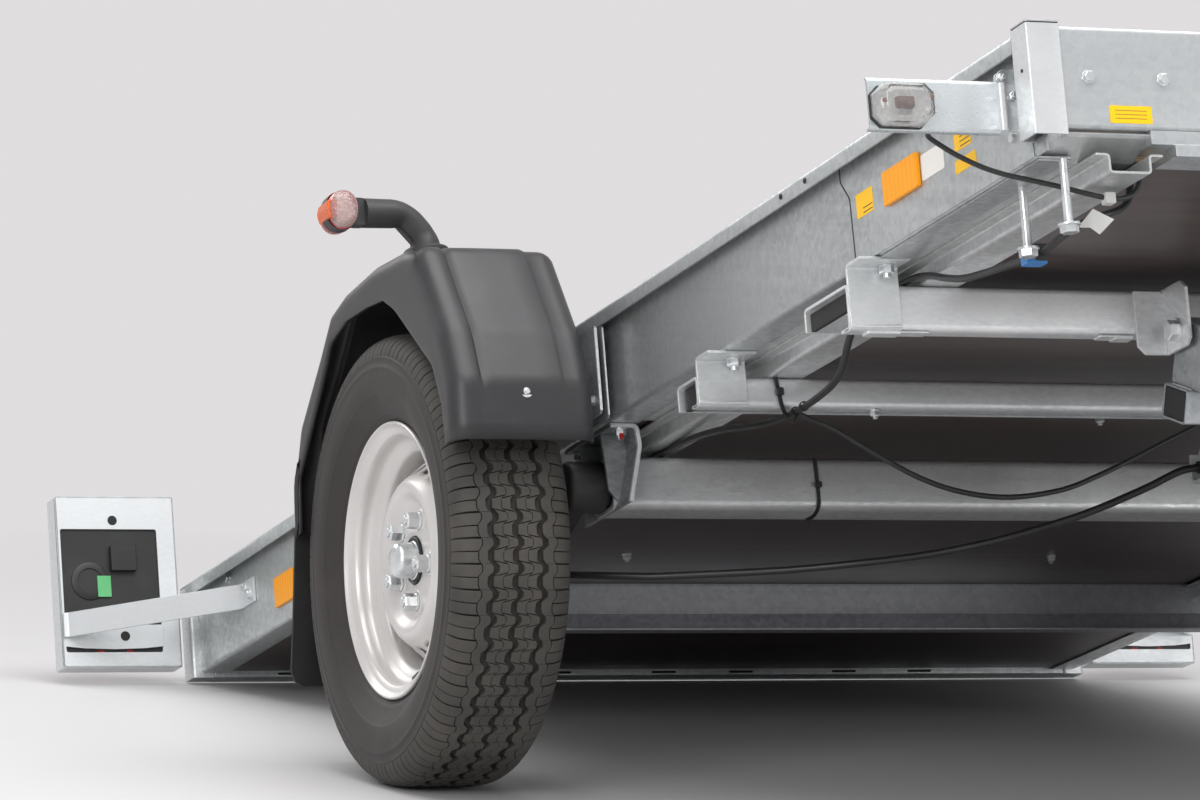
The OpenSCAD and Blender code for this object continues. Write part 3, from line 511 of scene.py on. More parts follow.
# The cords: points along each cable as they lie in the bed's layout, on the right side.
cords = {
    "light_cable": {"d": 0.007, "stiff": "medium", "route": [(0.128, -0.583, 0.069),
        (0.134, -0.583, 0.064), (0.142, -0.583, 0.06), (0.154, -0.583, 0.055),
        (0.178, -0.583, 0.046), (0.23, -0.583, 0.016), (0.29, -0.583, -0.016),
        (0.35, -0.583, -0.035), (0.417, -0.583, -0.041), (0.489, -0.583, -0.031),
        (0.54, -0.583, -0.013), (0.591, -0.583, 0.009), (0.64, -0.583, 0.032), (0.68, -0.583, 0.05),
        (0.7, -0.583, 0.058), (0.71, -0.583, 0.063), (0.718, -0.583, 0.069)]},
    "wiring_harness": {"d": 0.009, "stiff": "medium",
        "route": [(0.168, -1.446, 0.133), (0.168, -1.446, 0.122), (0.166, -1.447, 0.111),
        (0.16, -1.45, 0.101), (0.151, -1.454, 0.093), (0.14, -1.459, 0.088), (0.127, -1.464, 0.083),
        (0.114, -1.465, 0.079), (0.102, -1.462, 0.075), (0.092, -1.454, 0.07),
        (0.084, -1.443, 0.065), (0.079, -1.428, 0.06), (0.078, -1.402, 0.057),
        (0.078, -1.355, 0.059), (0.078, -1.3, 0.065), (0.078, -1.245, 0.071), (0.078, -1.19, 0.079),
        (0.078, -1.145, 0.091), (0.078, -1.105, 0.104), (0.078, -1.065, 0.112),
        (0.079, -1.025, 0.114), (0.08, -0.985, 0.114), (0.081, -0.945, 0.114),
        (0.081, -0.912, 0.112), (0.082, -0.88, 0.103), (0.087, -0.845, 0.087),
        (0.097, -0.805, 0.071), (0.105, -0.76, 0.061), (0.11, -0.7, 0.057), (0.118, -0.62, 0.059),
        (0.12, -0.54, 0.064), (0.119, -0.46, 0.076), (0.117, -0.38, 0.09), (0.116, -0.3, 0.099),
        (0.116, -0.22, 0.1025), (0.116, 0, 0.1025), (0.116, 0.4, 0.1025), (0.116, 0.78, 0.1025)]},
    "brake_cable": {"d": 0.01, "stiff": "stiff", "route": [(-0.028, -0.064, -0.032),
        (-0.014, -0.064, -0.032), (0.003, -0.067, -0.033), (0.02, -0.075, -0.035),
        (0.039, -0.088, -0.038), (0.061, -0.104, -0.042), (0.086, -0.121, -0.046),
        (0.112, -0.138, -0.05), (0.164, -0.17, -0.054), (0.255, -0.22, -0.059),
        (0.333, -0.27, -0.061), (0.429, -0.31, -0.056), (0.512, -0.35, -0.045),
        (0.586, -0.38, -0.028), (0.636, -0.4, -0.013), (0.694, -0.425, 0.009),
        (0.732, -0.444, 0.026), (0.758, -0.45, 0.031)]},
    "front_lamp_lead": {"d": 0.006, "stiff": "medium",
        "route": [(-0.091, -1.489, 0.167), (-0.091, -1.482, 0.167), (-0.09, -1.474, 0.167),
        (-0.086, -1.466, 0.166), (-0.079, -1.46, 0.164), (-0.07, -1.457, 0.16),
        (-0.048, -1.456, 0.148), (-0.02, -1.46, 0.134), (0.005, -1.467, 0.124),
        (0.032, -1.475, 0.116), (0.06, -1.48, 0.109), (0.092, -1.483, 0.101),
        (0.115, -1.482, 0.097), (0.13, -1.481, 0.096), (0.143, -1.48, 0.098),
        (0.154, -1.478, 0.103), (0.161, -1.477, 0.111), (0.165, -1.476, 0.122),
        (0.165, -1.476, 0.133)]},
}


def makeCord(kind, side, node):
    facts = cords[kind]
    line = catmull(facts["route"], 5)
    obj = swept(node + "_sheath", line, roundSection(facts["d"] / 2), sidePlace[side],
        finish["sheath"], 60)
    dress(obj, "bed", [node])


makeCord("light_cable", "right", "light_cable")
makeCord("wiring_harness", "right", "wiring_harness")
for side in sides:
    makeCord("brake_cable", side, "brake_cable_" + side)
    makeCord("front_lamp_lead", side, "front_lamp_lead_" + side)
print("cords lie")


# Geometry Nodes: one tree turns copies of a mesh round the x axis, another sets fasteners
# on spots.
def nodeTree(name, wanted):
    tree = bpy.data.node_groups.new(name, "GeometryNodeTree")
    tree.interface.new_socket("Geometry", in_out="INPUT", socket_type="NodeSocketGeometry")
    tree.interface.new_socket("Geometry", in_out="OUTPUT", socket_type="NodeSocketGeometry")
    ids = {title: tree.interface.new_socket(title, in_out="INPUT", socket_type=kind).identifier
        for title, kind in wanted}
    return tree, addNode(tree, "NodeGroupInput"), addNode(tree, "NodeGroupOutput"), ids


def finishTree(tree, geometry, inside, outside):
    real = addNode(tree, "GeometryNodeRealizeInstances", {"Geometry": geometry})
    painted = addNode(tree, "GeometryNodeSetMaterial",
        {"Geometry": real.outputs[0], "Material": inside.outputs["Material"]})
    tree.links.new(painted.outputs[0], outside.inputs[0])


def makeRingTree():
    tree, inside, outside, ids = nodeTree("turnedCopies",
        (("Count", "NodeSocketInt"), ("Start", "NodeSocketFloat"),
        ("Material", "NodeSocketMaterial")))
    points = addNode(tree, "GeometryNodePoints", {"Count": inside.outputs["Count"]})
    index = addNode(tree, "GeometryNodeInputIndex").outputs[0]
    step = maths(tree, "DIVIDE", 2 * math.pi, inside.outputs["Count"])
    angle = maths(tree, "ADD", maths(tree, "MULTIPLY", index, step), inside.outputs["Start"])
    euler = addNode(tree, "ShaderNodeCombineXYZ", {"X": angle}).outputs[0]
    turn = addNode(tree, "FunctionNodeEulerToRotation", {0: euler}).outputs[0]
    copies = addNode(tree, "GeometryNodeInstanceOnPoints",
        {"Points": points.outputs[0], "Instance": inside.outputs["Geometry"], "Rotation": turn})
    finishTree(tree, copies.outputs[0], inside, outside)
    return tree, ids


def namedAttribute(tree, name, kind):
    node = addNode(tree, "GeometryNodeInputNamedAttribute", {"Name": name}, data_type=kind)
    return next(s for s in node.outputs if s.enabled and s.name == "Attribute")


def makeSpotTree():
    tree, inside, outside, ids = nodeTree("fastenersOnSpots",
        (("Fastener", "NodeSocketObject"), ("Size", "NodeSocketFloat"),
        ("Material", "NodeSocketMaterial")))
    facing = addNode(tree, "FunctionNodeAlignRotationToVector",
        {"Vector": namedAttribute(tree, "facing", "FLOAT_VECTOR")}, axis="Z").outputs[0]
    euler = addNode(tree, "ShaderNodeCombineXYZ", {"Z": namedAttribute(tree, "spin",
        "FLOAT")}).outputs[0]
    spin = addNode(tree, "FunctionNodeEulerToRotation", {0: euler}).outputs[0]
    turn = addNode(tree, "FunctionNodeRotateRotation", {0: facing, 1: spin},
        rotation_space="LOCAL").outputs[0]
    part = addNode(tree, "GeometryNodeObjectInfo",
        {"Object": inside.outputs["Fastener"]}).outputs["Geometry"]
    size = addNode(tree, "ShaderNodeCombineXYZ", {"X": inside.outputs["Size"],
        "Y": inside.outputs["Size"], "Z": inside.outputs["Size"]}).outputs[0]
    copies = addNode(tree, "GeometryNodeInstanceOnPoints",
        {"Points": inside.outputs["Geometry"], "Instance": part, "Rotation": turn, "Scale": size})
    finishTree(tree, copies.outputs[0], inside, outside)
    return tree, ids


ringTree, ringIds = makeRingTree()
spotTree, spotIds = makeSpotTree()


def bakeNodes(obj, tree, values):
    modifier = obj.modifiers.new("copies", "NODES")
    modifier.node_group = tree
    for identifier, value in values.items():
        modifier[identifier] = value
    evaluated = obj.evaluated_get(bpy.context.evaluated_depsgraph_get())
    mesh = bpy.data.meshes.new_from_object(evaluated)
    obj.modifiers.remove(modifier)
    obj.data = mesh
    return obj


# Copies of a small mesh round the x axis, turned into place.
def ringPiece(name, points, faces, count, start, place, material, smooth=32):
    obj = meshPiece(name, points, faces, Matrix.Identity(4), material, smooth)
    fixNormals(obj.data)
    bakeNodes(obj, ringTree, {ringIds["Count"]: count, ringIds["Start"]: start,
        ringIds["Material"]: material})
    obj.data.transform(place)
    if place.determinant() < 0:
        obj.data.flip_normals()
    smoothByAngle(obj.data, smooth)
    return obj


# Fasteners stand on their seat and point along +z, for an M8 thread.
# Rings are (radius, height) from the seat to the tip.
def prism(sides, rings, phase=0.0):
    points = [(r * math.cos(2 * math.pi * (k + phase) / sides),
        r * math.sin(2 * math.pi * (k + phase) / sides), z) for r, z in rings for k in range(sides)]
    return points, ringFaces(len(rings), sides)


def joined(*parts):
    points = []
    faces = []
    for more, moreFaces in parts:
        faces += [tuple(i + len(points) for i in face) for face in moreFaces]
        points += more
    return points, faces


washer = prism(24, [(0.0088, 0.0), (0.009, 0.0003), (0.009, 0.0013), (0.0087, 0.0016)])
hexHead = prism(6, [(0.0075, 0.0016), (0.0075, 0.0066), (0.0066, 0.0073), (0.003, 0.0073)])
thread = prism(12, [(0.004, 0.007), (0.004, 0.0125), (0.0034, 0.0132)])
nutRim = prism(6, [(0.0075, 0.0016), (0.0078, 0.0024), (0.0078, 0.008), (0.0068, 0.0088),
    (0.0042, 0.0088)])
fastenerShapes = {
    "hexBolt": joined(washer, hexHead),
    "stud": joined(washer, nutRim, thread),
    "panHead": joined(prism(20, [(0.0085, 0.0), (0.0085, 0.001)]),
        prism(20, [(0.0052, 0.001), (0.005, 0.002), (0.004, 0.003), (0.0018, 0.0035)]),
        prism(4, [(0.0008, 0.003), (0.0026, 0.0036), (0.0007, 0.0037)])),
    "rivet": prism(16, [(0.0045, 0.0), (0.0043, 0.001), (0.0034, 0.0019), (0.0014, 0.0023)]),
    "wheelNut": joined(prism(20, [(0.012, 0.0), (0.012, 0.0022), (0.0102, 0.004)]),
        prism(6, [(0.0112, 0.003), (0.0115, 0.005), (0.0115, 0.018), (0.01, 0.02), (0.0068, 0.02),
        (0.0064, 0.015)]), prism(16, [(0.0058, 0.01), (0.0058, 0.0215), (0.005, 0.0222)])),
    "bigBolt": joined(prism(28, [(0.0165, 0.0), (0.0168, 0.0004), (0.0168, 0.0026),
        (0.0164, 0.003)]), prism(6, [(0.0138, 0.003), (0.0138, 0.012), (0.012, 0.0132),
        (0.005, 0.0132)])),
}


# Spots are (point, facing, spin in degrees) in the layout.
def fasten(name, shape, spots, place, body="bed", look="zinc", size=1.0):
    material = finish[look]
    points, faces = fastenerShapes[shape]
    part = meshPiece(name + "_one", points, faces, Matrix.Identity(4), material, 25)
    fixNormals(part.data)
    turn = place.to_3x3()
    mesh = bpy.data.meshes.new(name)
    mesh.from_pydata([turned(p, place) for p, f, s in spots], [], [])
    mesh.attributes.new("facing", "FLOAT_VECTOR", "POINT")
    mesh.attributes.new("spin", "FLOAT", "POINT")
    for i, (p, f, s) in enumerate(spots):
        mesh.attributes["facing"].data[i].vector = unit(turn @ Vector(f))
        mesh.attributes["spin"].data[i].value = math.radians(s)
    obj = newObject(name, mesh)
    bakeNodes(obj, spotTree, {spotIds["Fastener"]: part, spotIds["Size"]: size,
        spotIds["Material"]: material})
    bpy.data.objects.remove(part)
    smoothByAngle(obj.data, 25)
    return dress(obj, body)


# A section of (x, radius), from one end to the other, turned round the x axis.
def revolved(name, section, segments, place, material, closed=False, smooth=40):
    count = len(section)
    points = [(x, r * math.cos(2 * math.pi * i / segments),
        r * math.sin(2 * math.pi * i / segments)) for i in range(segments) for x, r in section]
    faces = []
    for i in range(segments):
        j = (i + 1) % segments
        for k in range(count if closed else count - 1):
            m = (k + 1) % count
            faces.append((i * count + k, j * count + k, j * count + m, i * count + m))
    obj = meshPiece(name, points, faces, place, material, smooth)
    fixNormals(obj.data, mergeDistance)
    smoothByAngle(obj.data, smooth)
    return obj


def sideNormal(a, b):
    d = unit(b - a)
    return Vector((d.y, -d.x))


def offsetLine(line, amount):
    moved = []
    for i, p in enumerate(line):
        before = sideNormal(line[i - 1], p) if i else None
        after = sideNormal(p, line[i + 1]) if i < len(line) - 1 else None
        if before is None or after is None:
            moved.append(p + (before or after) * amount)
        else:
            middle = unit(before + after)
            moved.append(p + middle * (amount / middle.dot(after)))
    return moved


# Arcs at the corners of a line of any number of coordinates.
def roundCorners(line, radius, steps=4):
    line = [Vector(p) for p in line]
    done = [line[0]]
    for a, b, c in zip(line, line[1:], line[2:]):
        back, ahead = unit(a - b), unit(c - b)
        angle = back.angle(ahead, math.pi)
        if angle > math.radians(176):
            done.append(b)
            continue
        cut = min(radius / math.tan(angle / 2), 0.45 * (a - b).length, 0.45 * (c - b).length)
        start, end = b + back * cut, b + ahead * cut
        for k in range(steps + 1):
            t = k / steps
            done.append(start * (1 - t) ** 2 + b * (2 * t * (1 - t)) + end * t ** 2)
    return done + [line[-1]]


# The sheet lies to the right-hand side of the path, as it does in the CAD.
def foldedOutline(path, thickness, bend):
    centre = offsetLine([Vector(p) for p in path], thickness / 2)
    centre = roundCorners(centre, bend + thickness / 2)
    return offsetLine(centre, -thickness / 2) + list(reversed(offsetLine(centre, thickness / 2)))


# Axis x takes outlines of (y, z), axis y of (x, z) and axis z of (x, y).
def atLevel(axis, p, level):
    return {"x": (level, p[0], p[1]), "y": (p[0], level, p[1]), "z": (p[0], p[1], level)}[axis]


def extruded(name, outline, axis, a, b, place, material, smooth=32, bevel=0.0005):
    points = [atLevel(axis, p, level) for level in (a, b) for p in outline]
    obj = meshPiece(name, points, ringFaces(2, len(outline)), place, material, smooth)
    fixNormals(obj.data)
    if bevel:
        addBevel(obj, bevel)
    return obj


# A rectangle between two corners, with round corners.
def boxOutline(a, b, corner=0.0, steps=3):
    line = [Vector(p) for p in ((a[0], a[1]), (b[0], a[1]), (b[0], b[1]), (a[0], b[1]))]
    if not corner:
        return line
    outline = []
    for i, p in enumerate(line):
        before, after = line[i - 1], line[(i + 1) % 4]
        start, end = p + unit(before - p) * corner, p + unit(after - p) * corner
        for k in range(steps + 1):
            t = k / steps
            outline.append(start * (1 - t) ** 2 + p * (2 * t * (1 - t)) + end * t ** 2)
    return outline


# A straight hollow section whose two outlines have as many points.
def hollowPiece(name, outer, inner, axis, a, b, place, material, smooth=32, bevel=0.0004):
    n = len(outer)
    points = [atLevel(axis, p, level) for level in (a, b) for p in list(outer) + list(inner)]
    faces = []
    for k in range(n):
        j = (k + 1) % n
        faces.append((k, j, 2 * n + j, 2 * n + k))
        faces.append((n + k, 3 * n + k, 3 * n + j, n + j))
        faces.append((k, n + k, n + j, j))
        faces.append((2 * n + k, 2 * n + j, 3 * n + j, 3 * n + k))
    obj = meshPiece(name, points, faces, place, material, smooth)
    fixNormals(obj.data)
    if bevel:
        addBevel(obj, bevel)
    return obj


# Sections of (y, outline of x and z) joined from one end to the other.
def lofted(name, sections, place, material, smooth=35, bevel=0.0008):
    points = [(p[0], y, p[1]) for y, outline in sections for p in outline]
    obj = meshPiece(name, points, ringFaces(len(sections), len(sections[0][1])), place, material,
        smooth)
    fixNormals(obj.data)
    if bevel:
        addBevel(obj, bevel)
    return obj


# A beam folded from sheet along a path of (y, z), lying across the bed.
def foldedBeam(name, path, thickness, bend, x0, x1, material, place=None, bevel=0.0006):
    place = place or bedPlace
    return extruded(name, foldedOutline(path, thickness, bend), "x", x0, x1, place, material,
        bevel=bevel)


# A bead of weld: a thin tube whose width wavers along its run.
def makeBead(name, line, radius, place, body="bed"):
    line = [Vector(p) for p in line]
    steps = max(2, int(lineLength(line) / (radius * 1.1)))
    even = []
    for a, b in zip(line, line[1:]):
        parts = max(1, int(steps * (b - a).length / lineLength(line)))
        even += [a.lerp(b, k / parts) for k in range(parts)]
    even.append(line[-1])
    random.seed(len(name) * 7 + len(even))
    size = [radius * (0.8 + 0.35 * random.random()) for _ in even]
    rings = tubeRings(even, roundSection(1.0, 8), (0.13, 0.21, 1))
    points = []
    for p, r, ring in zip(even, size, rings):
        points += [p + (q - p) * r for q in ring]
    obj = meshPiece(name, points, ringFaces(len(even), 8), place, finish["hotDip"], 60)
    fixNormals(obj.data)
    return dress(obj, body)


def boxPiece(name, low, high, corner, axis, a, b, place, material, bevel=0.0005):
    outline = boxOutline(low, high, corner)
    return extruded(name, outline, axis, a, b, place, material, bevel=bevel)


# The tyre: a carcass turned from its section, and tread blocks repeated round it.
tyreSet = {
    "middle": 0.0635,
    "pitches": 56,
    "depth": 0.0075,
    "wave": 0.0038,
    "chamfer": 0.0006,
    "crown": [(0, 0.297), (0.03, 0.2968), (0.045, 0.2962), (0.055, 0.2949), (0.062, 0.293),
        (0.068, 0.29), (0.073, 0.286), (0.077, 0.2805), (0.0798, 0.273), (0.0815, 0.266),
        (0.09, 0.24)],
    "bars": ((0.0042, 0.0292), (-0.0292, -0.0042)),
    "bandInner": 0.0376,
    "bandOuter": 0.0505,
    "shoulderInner": 0.0515,
    "shoulderOuter": 0.0806,
}
waveCorners = [(-0.14, -1), (0.08, 1), (0.3, 1), (0.5, -1), (0.86, -1), (1.08, 1), (1.3, 1)]


def between(table, x):
    for (a, va), (b, vb) in zip(table, table[1:]):
        if x <= b:
            return va + (vb - va) * (x - a) / (b - a)
    return table[-1][1]


def crown(x):
    return between(tyreSet["crown"], abs(x))


def wave(s):
    return between(waveCorners, (s + 0.14) % 1.0 - 0.14) * tyreSet["wave"]


# One block between two edges, which are functions of the share of a pitch, with broken edges.
def treadBlock(left, right, start, end, slants=(0.0, 0.0), across=(), along=6, depth=None):
    pitch = 2 * math.pi / tyreSet["pitches"]
    chamfer = tyreSet["chamfer"]
    width = right(start) - left(start)
    length = (end - start) * pitch * crown(0)
    edgeU, edgeV = chamfer / width, chamfer / length
    shareU = [0, edgeU] + list(across) + [1 - edgeU, 1]
    shareV = [0, edgeV] + [k / along for k in range(1, along)] + [1 - edgeV, 1]
    depth = depth or tyreSet["depth"]
    points = []
    for i, u in enumerate(shareU):
        for j, v in enumerate(shareV):
            s0 = start + slants[0] * (u - 0.5)
            s1 = end + slants[1] * (u - 0.5)
            s = s0 + (s1 - s0) * v
            x = left(s) + (right(s) - left(s)) * u
            edge = i in (0, len(shareU) - 1) or j in (0, len(shareV) - 1)
            r = crown(x) - (chamfer if edge else 0)
            points.append((x, r * math.cos(s * pitch), r * math.sin(s * pitch)))
    rows, columns = len(shareU), len(shareV)
    faces = [(i * columns + j, (i + 1) * columns + j, (i + 1) * columns + j + 1,
        i * columns + j + 1) for i in range(rows - 1) for j in range(columns - 1)]
    ring = list(range(columns)) + [i * columns + columns - 1
        for i in range(1, rows)] + [(rows - 1) * columns + j
        for j in range(columns - 2, -1, -1)] + [i * columns for i in range(rows - 2, 0, -1)]
    base = len(points)
    for index in ring:
        x, y, z = points[index]
        shrink = 1 - depth / math.hypot(y, z)
        points.append((x, y * shrink, z * shrink))
    count = len(ring)
    faces += [(ring[k], ring[(k + 1) % count], base + (k + 1) % count, base + k)
        for k in range(count)]
    return points, faces + [tuple(base + k for k in range(count))]


def treadPitch():
    blocks = []
    for low, high in tyreSet["bars"]:
        middle = (low + high) / 2
        for start, end, slants in ((-0.04, 0.38, (0.1, -0.12)), (0.42, 0.92, (-0.12, 0.1))):
            for a, b in ((low, middle - 0.0003), (middle + 0.0003, high)):
                blocks.append(treadBlock(lambda s, a=a: a + wave(s), lambda s, b=b: b + wave(s),
                    start, end, slants))
    inner, outer = tyreSet["bandInner"], tyreSet["bandOuter"]
    blocks.append(treadBlock(lambda s: inner + wave(s), lambda s: outer + 0.7 * wave(s), 0.0, 1.0,
        along=10))
    blocks.append(treadBlock(lambda s: -outer + 0.7 * wave(s), lambda s: -inner + wave(s), 0.0, 1.0,
        along=10))
    inner, outer = tyreSet["shoulderInner"], tyreSet["shoulderOuter"]
    reach = 0.22, 0.45, 0.65, 0.82, 0.93
    for start, end in ((0.04, 0.51), (0.545, 0.97)):
        blocks.append(treadBlock(lambda s: inner + 0.7 * wave(s), lambda s: outer, start, end,
            across=reach, along=5))
        blocks.append(treadBlock(lambda s: -outer, lambda s: -inner + 0.7 * wave(s), start, end,
            across=tuple(1 - u for u in reversed(reach)), along=5))
    return joined(*blocks)


# Outer side, tread floor, inner side, then the lining, all as (x, radius).
def carcassSection():
    wall = [(0.05, 0.166), (0.0535, 0.1672), (0.0546, 0.172), (0.0556, 0.178), (0.0576, 0.1815),
        (0.0604, 0.1842), (0.0626, 0.1888), (0.064, 0.19), (0.0652, 0.1915), (0.0668, 0.195),
        (0.07, 0.201), (0.0735, 0.207), (0.0768, 0.213), (0.0784, 0.216), (0.0792, 0.2168),
        (0.0796, 0.2185), (0.0812, 0.223), (0.0826, 0.23), (0.0833, 0.238), (0.0834, 0.244),
        (0.0832, 0.25), (0.0836, 0.251), (0.0836, 0.253), (0.0828, 0.2542), (0.0822, 0.2585),
        (0.0814, 0.2625), (0.0818, 0.2635), (0.0816, 0.2655), (0.0804, 0.2666), (0.0795, 0.27),
        (0.077, 0.2745), (0.0735, 0.279), (0.068, 0.283), (0.062, 0.2855), (0.055, 0.2874),
        (0.045, 0.2887), (0.03, 0.2893)]
    lining = [(0.04, 0.28), (0.058, 0.272), (0.068, 0.258), (0.071, 0.24), (0.066, 0.216),
        (0.056, 0.196), (0.048, 0.178)]
    outside = [(-x, r) for x, r in wall] + [(0, 0.2895)] + wall[::-1]
    inside = lining[::-1] + [(0, 0.2825)] + [(-x, r) for x, r in lining]
    return outside + inside


def makeTyre(side):
    place = sidePlace[side] @ Matrix.Translation((layout["rimX"] + tyreSet["middle"], 0, 0))
    body = "wheel_" + side
    add("tyre_" + side + "_carcass", "rubber", revolved, carcassSection(), 168, place, closed=True,
        smooth=40, body=body, nodes=["tyre_" + side])
    points, faces = treadPitch()
    add("tyre_" + side + "_tread", "tread", ringPiece, points, faces, tyreSet["pitches"], 0.0,
        place, smooth=30, body=body)


for side in sides:
    makeTyre(side)
print("tyres stand")

# The rim's x runs inwards from the plane of its outer flange.
rimSet = {"slots": 24, "perSlot": 6, "slotLean": 0.35, "wall": 0.0035, "nutCircle": 0.056,
    "nutStart": 196.2}


def ringSeat(point, place, name, body):
    here = place @ Matrix.Translation(point)
    seat = [(0.0012, 0.0165), (0.0004, 0.016), (-0.0006, 0.0145), (-0.001, 0.0128),
        (0.0004, 0.0118)]
    obj = revolved(name, seat, 32, here, finish["silver"])
    return dress(obj, body)


def makeRim(side):
    place = sidePlace[side] @ Matrix.Translation((layout["rimX"], 0, 0))
    body = "wheel_" + side
    barrel = [(0.0035, 0.1822), (0.0005, 0.182), (-0.0008, 0.1806), (-0.0004, 0.179),
        (0.002, 0.1772), (0.005, 0.1752), (0.0072, 0.1715), (0.0084, 0.1665), (0.011, 0.164),
        (0.018, 0.163), (0.025, 0.1622), (0.029, 0.16), (0.033, 0.153), (0.037, 0.145),
        (0.041, 0.1425), (0.05, 0.142), (0.072, 0.142), (0.079, 0.145), (0.086, 0.156),
        (0.094, 0.1615), (0.11, 0.1632), (0.118, 0.165), (0.12, 0.172), (0.124, 0.177),
        (0.1275, 0.1795), (0.1278, 0.1815), (0.1262, 0.1825)]
    line = [Vector(p) for p in barrel]
    shell = line + list(reversed(offsetLine(line, -0.0028)))
    add("rim_" + side + "_barrel", "silver", revolved, shell, 144, place, closed=True, smooth=38,
        body=body, nodes=["rim_" + side])

    rings = [(0.0345, 0.0315), (0.033, 0.0325), (0.0326, 0.036), (0.0326, 0.044), (0.0326, 0.066),
        (0.0326, 0.072), (0.0318, 0.0765), (0.029, 0.081), (0.024, 0.086), (0.0212, 0.091),
        (0.0202, 0.096), (0.021, 0.101), (0.0245, 0.106), (0.0305, 0.111), (0.037, 0.116),
        (0.043, 0.1205), (0.049, 0.1255), (0.056, 0.131), (0.061, 0.135), (0.065, 0.1385),
        (0.069, 0.1418)]
    firstHole, lastHole = 14, 17
    count = rimSet["slots"] * rimSet["perSlot"]
    points = []
    for i in range(count):
        for k, (x, r) in enumerate(rings):
            angle = 2 * math.pi * i / count
            column = i % rimSet["perSlot"]
            if k in (firstHole, lastHole) and column in (1, 5):
                lean = rimSet["slotLean"] * (1 if column == 1 else -1)
                angle += lean * 2 * math.pi / count
            points.append((x, r * math.cos(angle), r * math.sin(angle)))
    faces = []
    for i in range(count):
        column = i % rimSet["perSlot"]
        for k in range(len(rings) - 1):
            if 1 <= column <= 4 and firstHole <= k < lastHole:
                continue
            j = (i + 1) % count
            a, b = i * len(rings) + k, j * len(rings) + k
            faces.append((a, b, b + 1, a + 1))
    disc = meshPiece("rim_" + side + "_disc", points, faces, place, finish["silver"], 40)
    fixOutward(disc.data, turned((-1, 0, 0), place) - turned((0, 0, 0), place))
    addWall(disc, rimSet["wall"])
    dress(disc, body)

    spots = []
    for i in range(5):
        angle = math.radians(rimSet["nutStart"] + 72 * i)
        spots.append(((0.0318, rimSet["nutCircle"] * math.cos(angle),
            rimSet["nutCircle"] * math.sin(angle)), (-1, 0, 0), 11 * i))
    fasten("wheel_nuts_" + side, "wheelNut", spots, place, body)
    for i, spot in enumerate(spots):
        ringSeat(spot[0], place, "nut_seat_" + side + "_" + str(i), body)

    cap = [(0.034, 0.0), (0.034, 0.0252), (0.03, 0.0256), (0.029, 0.024), (0.027, 0.0236),
        (0.012, 0.0234), (0.008, 0.0228), (0.0045, 0.0205), (0.0025, 0.016), (0.0016, 0.009),
        (0.0014, 0.0)]
    add("grease_cap_" + side, "zinc", revolved, cap, 64, place, body=body, slot="hub_steel")
    boss = [(0.042, 0.0), (0.042, 0.0312), (0.031, 0.0312), (0.03, 0.03), (0.0325, 0.0262),
        (0.033, 0.0)]
    add("hub_boss_" + side, "black", revolved, boss, 64, place, body=body, slot="hub_steel")
    drum = [(0.037, 0.0), (0.037, 0.094), (0.0385, 0.0985), (0.043, 0.1), (0.07, 0.1),
        (0.072, 0.1018), (0.078, 0.1018), (0.08, 0.1), (0.15, 0.1), (0.153, 0.102), (0.1605, 0.102),
        (0.1605, 0.0965), (0.13, 0.096), (0.13, 0.0)]
    add("brake_drum_" + side, "drum", revolved, drum, 96, place, body=body, nodes=["hub_" + side])
    add("balance_weight_" + side, "black", boxPiece, (-0.0125, -0.0035), (0.0125, 0.0035), 0.002,
        "z", 0.0, 0.006, turnedAt(place @ Matrix.Rotation(math.radians(172), 4, "X"),
        (0.017, 0, 0.1575), 90, "Z"), body=body, slot="hub_steel")


for side in sides:
    makeRim(side)
print("rims stand")

# The mudguard: one outline with its opening, carried as a section from skirt to skirt.
# Each station is a point of the outline, then the opening's point.
guardSet = {
    "outer": -0.23,
    "width": 0.195,
    "wall": 0.0032,
    "shoulder": 0.024,
    "inner": 0.022,
    "skirt": 0.028,
    "crease": 0.042,
    "creaseDepth": 0.0058,
    "softCrease": 0.152,
    "softDepth": 0.0032,
    "roundness": 0.06,
    "stations": [((0.292, 0.095), (0.266, 0.094)), ((0.283, 0.17), (0.258, 0.165)),
        ((0.244, 0.24), (0.222, 0.197)), ((0.15, 0.314), (0.15, 0.262)),
        ((0.097, 0.36), (0.097, 0.315)), ((0.038, 0.3728), (0.03, 0.329)),
        ((-0.075, 0.3788), (-0.05, 0.327)), ((-0.196, 0.3708), (-0.11, 0.3215)),
        ((-0.244, 0.3595), (-0.15, 0.299)), ((-0.3215, 0.232), (-0.272, 0.195)),
        ((-0.3445, 0.16), (-0.296, 0.136)), ((-0.3395, 0.0845), (-0.3, 0.0845))],
}


# The outline and its opening as one smooth line of (y, z, y, z).
def guardStations():
    line = [Vector((*a, *b)) for a, b in guardSet["stations"]]
    line = roundCorners(line, guardSet["roundness"], 7)
    even = []
    for a, b in zip(line, line[1:]):
        parts = max(1, int((b - a).length / 0.02))
        even += [a.lerp(b, k / parts) for k in range(parts)]
    return even + [line[-1]]


